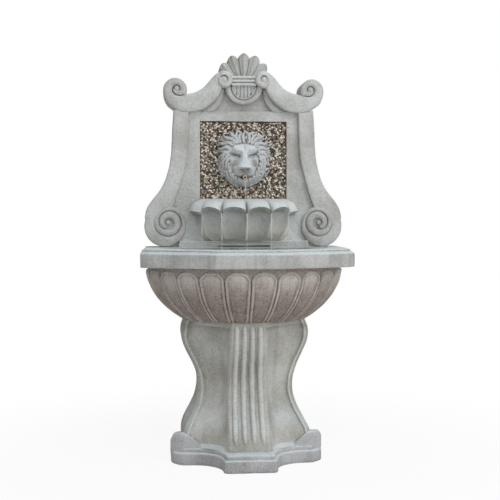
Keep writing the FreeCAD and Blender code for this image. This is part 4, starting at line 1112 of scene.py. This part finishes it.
def mane_locks():
    """Tapered locks in three rows from the face out, the inner rows higher, and large locks over them.

    Each lock runs from the face's edge towards the outline while its angle turns down the sides, with
    a sway of a sine, and narrows to its tip as the root of one less t to the fourth. The large locks are
    smooth curves, and narrow as the root of one less t cubed.
    """
    rng = np.random.default_rng(5)
    t = linspace(0, 1, 18)
    grids = []
    for row, (count, root, tip, half, height) in enumerate(LOCKS):
        for index in range(count):
            start = -pi + 2 * pi * (index + 0.5 * (row % 2) + rng.uniform(-0.16, 0.16)) / count
            turn, way = abs(start), np.sign(start)
            end = tip * rng.uniform(0.90, 1.10) + 0.22 * float(bell(turn, 0.8, 0.28))
            droop = 0.42 * max(0.0, sin(turn)) ** 1.5 * float(ease((turn - 0.5) / 0.9))
            more = 1 + 0.9 * float(ease((turn - 1.2) / 0.6))
            sway = rng.uniform(0.07, 0.17) * (-1) ** (index // 2) * more
            angle = start + way * droop * t ** 1.2 + sway * sin(5.2 * t) * t + 0.08 * way * t ** 2
            out = root + (end - root) * t
            across, up = mask_outline(angle)
            x = ((50 + 4 * cos(angle)) * (1 - out) + across * out) * sin(angle)
            z = (61 * cos(angle) - 3) * (1 - out) + up * cos(angle) * out
            wide = half * (0.62 + 0.38 * sin(pi * minimum(0.2 + t, 1))) * sqrt(1 - t ** 4)
            ridge = 31 - 17 * clip(out, 0, 1.1) + height * sin(pi * (0.22 + 0.62 * t))
            grids.append(lock(pairs(x, MASK_Z + z), wide, BED - ridge, 8))
    front = BED - 43 + 20 * t - 4 * sin(pi * t)
    for points in concatenate([SWEEPS, SWEEPS * [-1, 1]]):
        path = along(points + rng.uniform(-3, 3, points.shape), len(t)) + [0, MASK_Z]
        wide = rng.uniform(5.2, 7.6) * sqrt(1 - t ** 3) * (0.75 + 0.25 * sin(pi * t))
        grids.append(lock(path, wide, front, 9))
    return grids


piece("lion_head", [mask_skin()] + mane_locks(), mask_stone, "cast_stone", "lion_mask", worn=False, crisp=70)

# Pebble bed: columns and rows of stones, and the distances between them
STONES_ACROSS, STONES_UP = 43, 46
STONE_PITCH, STONE_RISE = 6.8, 5.75


def pebbles():
    """Stones laid on a jittered hexagonal grid: six-sided balls of three half sizes, turned at random."""
    rng = np.random.default_rng(11)
    column, row = np.meshgrid(arange(STONES_ACROSS), arange(STONES_UP))
    x = (-144 + STONE_PITCH * (column + 0.5 * (row % 2))).ravel() + rng.normal(0, 1.0, column.size)
    z = (WINDOW_LOW + 4 + STONE_RISE * row).ravel() + rng.normal(0, 1.0, column.size)
    size = stack([rng.uniform(*ends, x.size) for ends in ((3.2, 5.8), (2.4, 3.9), (2.4, 3.9))], -1)
    turn = rng.uniform(0, pi, x.size)
    deep = rng.uniform(-1.2, 1.2, x.size)
    tone = rng.uniform(0, 1, x.size)
    across, up = mask_outline(np.arctan2(x, z - MASK_Z))
    clear = hypot(x / across, (z - MASK_Z) / up) > 0.8
    kept = clear & (np.abs(x) < WINDOW_HALF - 3) & (z > WINDOW_LOW + 2.5) & (z < WINDOW_HIGH - 2.5)
    x, z, turn, deep = (values[kept][:, None] for values in (x, z, turn, deep))
    lat = linspace(-pi / 2, pi / 2, 5)[:, None]
    lon = linspace(0, 2 * pi, 7)[None, :-1]
    ball = [cos(lat) * cos(lon), cos(lat) * sin(lon), sin(lat) + 0 * lon]
    ball = stack(ball, -1).reshape(-1, 3)
    wide, thick, tall = np.moveaxis(ball * size[kept][:, None], -1, 0)
    c, s = cos(turn), sin(turn)
    points = stack([x + wide * c - tall * s, BED + 3.2 + deep + thick, z + wide * s + tall * c], -1)
    first = arange(len(x)) * len(ball)
    faces = (cells(*lat.shape[:1], *lon.shape[1:], True) + first[:, None, None]).reshape(-1, 4)
    return points.reshape(-1, 3), faces, {"tone": np.repeat(tone[kept], len(ball))}


bed_mortar = mortar("bed_mortar")
pea_gravel = gravel("pea_gravel")
gap = 0.4
mortar_half = WINDOW_HALF - gap
mortar_slab = slab(-mortar_half, mortar_half, WINDOW_LOW + gap, WINDOW_HIGH - gap, 128, 142, 0.8)
piece("gravel_mortar", [mortar_slab], bed_mortar, "pebbles", "pebble_bed")
gravel_mesh = mesh_of("gravel_stones", *pebbles(), worn=False, crisp=80)
placed("gravel_stones", gravel_mesh, pea_gravel, "pebbles", "pebble_bed")

# Shell: the angles of its cusps, and the heights of its lip and its foot
CUSPS = radians([0, 35.5, 62.5, 90, 117.5, 144.5, 180])
LOBES = len(CUSPS) - 1
LIP = 820
SHELL_FOOT = 727


def shell_skin():
    """Six lobes on a half oval: a lobed top falls to an arched lip, and fluted niches run down to the foot.

    In a lobe, w runs from -1 to 1, and the arch is the root of one less w squared: it lifts the lip,
    swells the top and hollows the niche. The top and the cup spread along cubics of their height.
    """
    lobes = linspace(0, LOBES, LOBES * 26 + 1)[None]
    turn = np.interp(lobes, arange(LOBES + 1), CUSPS)
    w = lobes % 1 * 2 - 1
    arch = sqrt(clip(1 - w ** 2, 0, 1))
    cusp = (1 - arch) ** 2
    lip = LIP + np.where(np.abs(lobes - 3) > 2, 8, 22) * arch
    lobe = 10 * arch - 10 * cusp

    def ring(half, reach, z, swell):
        plan = pairs((half + swell) * cos(turn), FIELD + 3 - (reach + 3 + swell) * sin(turn))
        return lifted(plan, z)

    rise = linspace(1, 0, 26)[:, None]
    back = through([0, 0.5, 0.85, 1], [0, 0.2, 0.6, 1], rise)
    swell = lobe * (0.35 + 0.65 * (1 - back))
    top = ring(180 - 42 * back, 146 - 137 * back, lip + (WINDOW_LOW - lip) * rise, swell)
    fall = linspace(0, 1, 40)[:, None]
    heights = [0, 0.15, 0.4, 0.7, 1]
    wide = through(heights, [0.1, 0.48, 0.78, 0.92, 0.96], 1 - fall)
    deep = through(heights, [0.05, 0.30, 0.58, 0.82, 0.95], 1 - fall)
    under = ease(fall / 0.10)
    hollow = lobe * (1 - under) - 21 * arch * under * (1 - 0.6 * ease((fall - 0.45) / 0.5))
    start = lip - 5 * minimum(fall / 0.04, 1)
    cup = ring(128 + 52 * wide, 34 + 112 * deep, SHELL_FOOT + (start - SHELL_FOOT) * (1 - fall), hollow - 2)
    # painted shade in the grooves at the cusps, and a painted highlight on the lobes' tops
    crest = 1.9 * cusp - 0.5 * arch + 0 * rise
    # painted shade under the lip's arches and at the foot
    painted_shading = arch * (0.5 * bell(fall, 0.14, 0.12) + 0.4 * bell(fall, 0.02, 0.10)) + 0.4 * bell(fall, 1, 0.06)
    # painted light: pale down the lower niches and on the cusps under the lip
    painted_highlight = 0.85 * ease((fall - 0.25) / 0.35) + 0.3 * cusp * under
    return capped(concatenate([top, cup]), clip(concatenate([crest, painted_shading - painted_highlight]), -0.85, 1))


piece("shell_casting", [shell_skin()], shell_stone, "cast_stone", "shell_shelf", crisp=50)


# Water
def threads():
    """Thin falling threads: circles that waver a little on the way down, from each cusp and the mouth."""
    drops = [(0, 46, 938, 862, 0.8)]
    for turn in CUSPS[1:-1]:
        drops.append((178 * cos(turn), FIELD - 143 * sin(turn), LIP + 1, WATER, 1.2))
    angle = linspace(0, 2 * pi, 9)[None, :-1]
    t = linspace(0, 1, 30)[:, None]
    grids = []
    for number, (x, y, high, low, radius) in enumerate(drops):
        z = high + (low - high) * t
        thick = radius * (1 + 0.25 * sin(z / 6 + number)) * (1 - 0.3 * t)
        middle = x + 0.5 * sin(z / 17 + 2 * number), y - 2 * t
        grids.append(capped(lifted(polar(middle, thick, angle), z)))
    return grids


def pool():
    """Still water just below the rim: rings that shrink from the mouth's outline, with low ripples.

    The ripples are rings about a point and a slanting wave, both sines, and die out at the edge.
    """
    gap, thick = 0.8, 6
    front = half_oval(MOUTH_HALF - gap, MOUTH_REACH - gap, MOUTH_MIDDLE)
    outline = basin_ring(front, MOUTH_BACK - gap, WATER)[0]
    middle = np.array([0, -10, WATER])
    share = linspace(0, 1, 34)[:, None, None]
    sheet = middle + (outline - middle) * share
    x, y = sheet[..., 0], sheet[..., 1]
    ripple = 0.5 * sin(hypot(x, y + 28) / 7) + 0.3 * sin(x / 11 + y / 8)
    sheet[..., 2] += ripple * (1 - share[..., 0] ** 4)
    floor = sheet[-1] - [0, 0, thick]
    under = np.broadcast_to(middle - [0, 0, thick], floor.shape)
    return concatenate([sheet, floor[None], under[None]]), 0.0, True


piece("water_threads", threads(), running_water("falling_water", 0.25), None, worn=False, crisp=80)
piece("water_pool", [pool()], running_water("clear_water", 0.85), None, worn=False, crisp=80)

# Fittings that keep their solids: a finish, and the nodes that take it
FITTINGS = [
    (
        moulded("black_plastic", (28, 29, 31), (58, 60, 62), 0.42),
        "pump_motor_housing pump_volute_cover pump_strainer",
    ),
    (moulded("white_plastic", (226, 226, 220), (196, 196, 186), 0.38), "pump_impeller"),
    (
        moulded("grey_plastic", (112, 115, 118), (140, 142, 144), 0.45),
        "pump_flow_knob hose_clip drain_bushing drain_locknut",
    ),
    (moulded("rod_plastic", (186, 186, 180), (160, 160, 154), 0.5), "locating_dowels"),
    (moulded("ground_ceramic", (242, 240, 234), (226, 222, 212), 0.22, 1600), "pump_shaft"),
    (
        moulded("black_rubber", (24, 24, 25), (52, 52, 52), 0.62, 600),
        "pump_shaft_bushes pump_suction_cups pump_cord_gland spout_washer "
        "drain_gasket drain_stopper cord_grommet",
    ),
    (moulded("hose_vinyl", (38, 42, 42), (62, 66, 66), 0.28, 400, Coat_Weight=0.3), "riser_hose"),
    (turned_metal("clamp_steel", (186, 188, 190), (150, 152, 154), (60, 60, 1800), 0.28), "hose_clamps"),
    (
        turned_metal("turned_brass", (204, 188, 156), (140, 124, 100), (60, 1800, 60), 0.3),
        "spout_elbow spout_nipple spout_locknut",
    ),
    (open_foam("filter_foam"), "pump_foam_filter"),
]
for finish, nodes in FITTINGS:
    for node in nodes.split():
        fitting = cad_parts[node]
        fitting.data.materials.clear()
        fitting.data.materials.append(finish)


# Floor, light and camera, in metres
def pale_floor():
    """Pale matt floor that the camera sees as white, with the object's shadow kept in part."""
    floor = Finish("pale_floor", Roughness=0.9, Base_Color=(0.9, 0.9, 0.9, 1))
    white = floor.node("ShaderNodeEmission", {}, {"Color": (1, 1, 1, 1), "Strength": 1.0})
    lit = Strand(floor, floor.shader.outputs[0])
    far = floor.node("ShaderNodeVectorMath", {"operation": "LENGTH"}, {0: floor.place()}, "Value")
    share = floor.backdrop() * (0.9 + 0.1 * far.above(0.5, 1.6))
    mixed = floor.node("ShaderNodeMixShader", {}, {0: share, 1: lit, 2: white})
    floor.join(mixed, floor.tree.nodes["Material Output"].inputs["Surface"])
    return floor.material


def soft_lamp(name, place, aim, size, power):
    """Square soft light at a place, turned to a point."""
    lamp = bpy.data.lights.new(name, "AREA")
    lamp.size, lamp.energy = size, power
    item = shown(name, lamp)
    item.location = place
    item.rotation_euler = (Vector(aim) - Vector(place)).to_track_quat("-Z", "Y").to_euler()


ground_mesh = bpy.data.meshes.new("ground")
ground_mesh.from_pydata([(-9, -9, 0), (9, -9, 0), (9, 9, 0), (-9, 9, 0)], [], [(0, 1, 2, 3)])
ground_mesh.materials.append(pale_floor())
ground = shown("ground", ground_mesh)

world = bpy.data.worlds.new("studio")
bpy.context.scene.world = world
world.use_nodes = True
sky = Nodes(world.node_tree)
background = world.node_tree.nodes["Background"]
background.inputs["Color"].default_value = (1, 1, 1, 1)
sky_strength = {"Value": sky.backdrop(), "To Min": 0.45, "To Max": 1.0}
sky.join(sky.node("ShaderNodeMapRange", {}, sky_strength), background.inputs["Strength"])

soft_lamp("overhead", (0.7, -1.9, 3.5), (0, 0, 0.8), 2.2, 38)
soft_lamp("side", (2.6, -2.0, 1.6), (0, 0, 0.7), 1.8, 23)
soft_lamp("front", (0.1, -3.4, 0.5), (0, 0, 0.75), 2.0, 16)

lens = bpy.data.cameras.new("eye")
lens.sensor_width, lens.lens = 36.0, 70.9
camera = shown("eye", lens)
camera.location = (-0.283, -3.238, 0.832)
heading, pitch = radians(5.2), radians(2.33)
look = Vector((sin(heading) * cos(pitch), cos(heading) * cos(pitch), -sin(pitch)))
camera.rotation_euler = look.to_track_quat("-Z", "Y").to_euler()
bpy.context.scene.camera = camera
bpy.context.scene.view_settings.view_transform = "Standard"
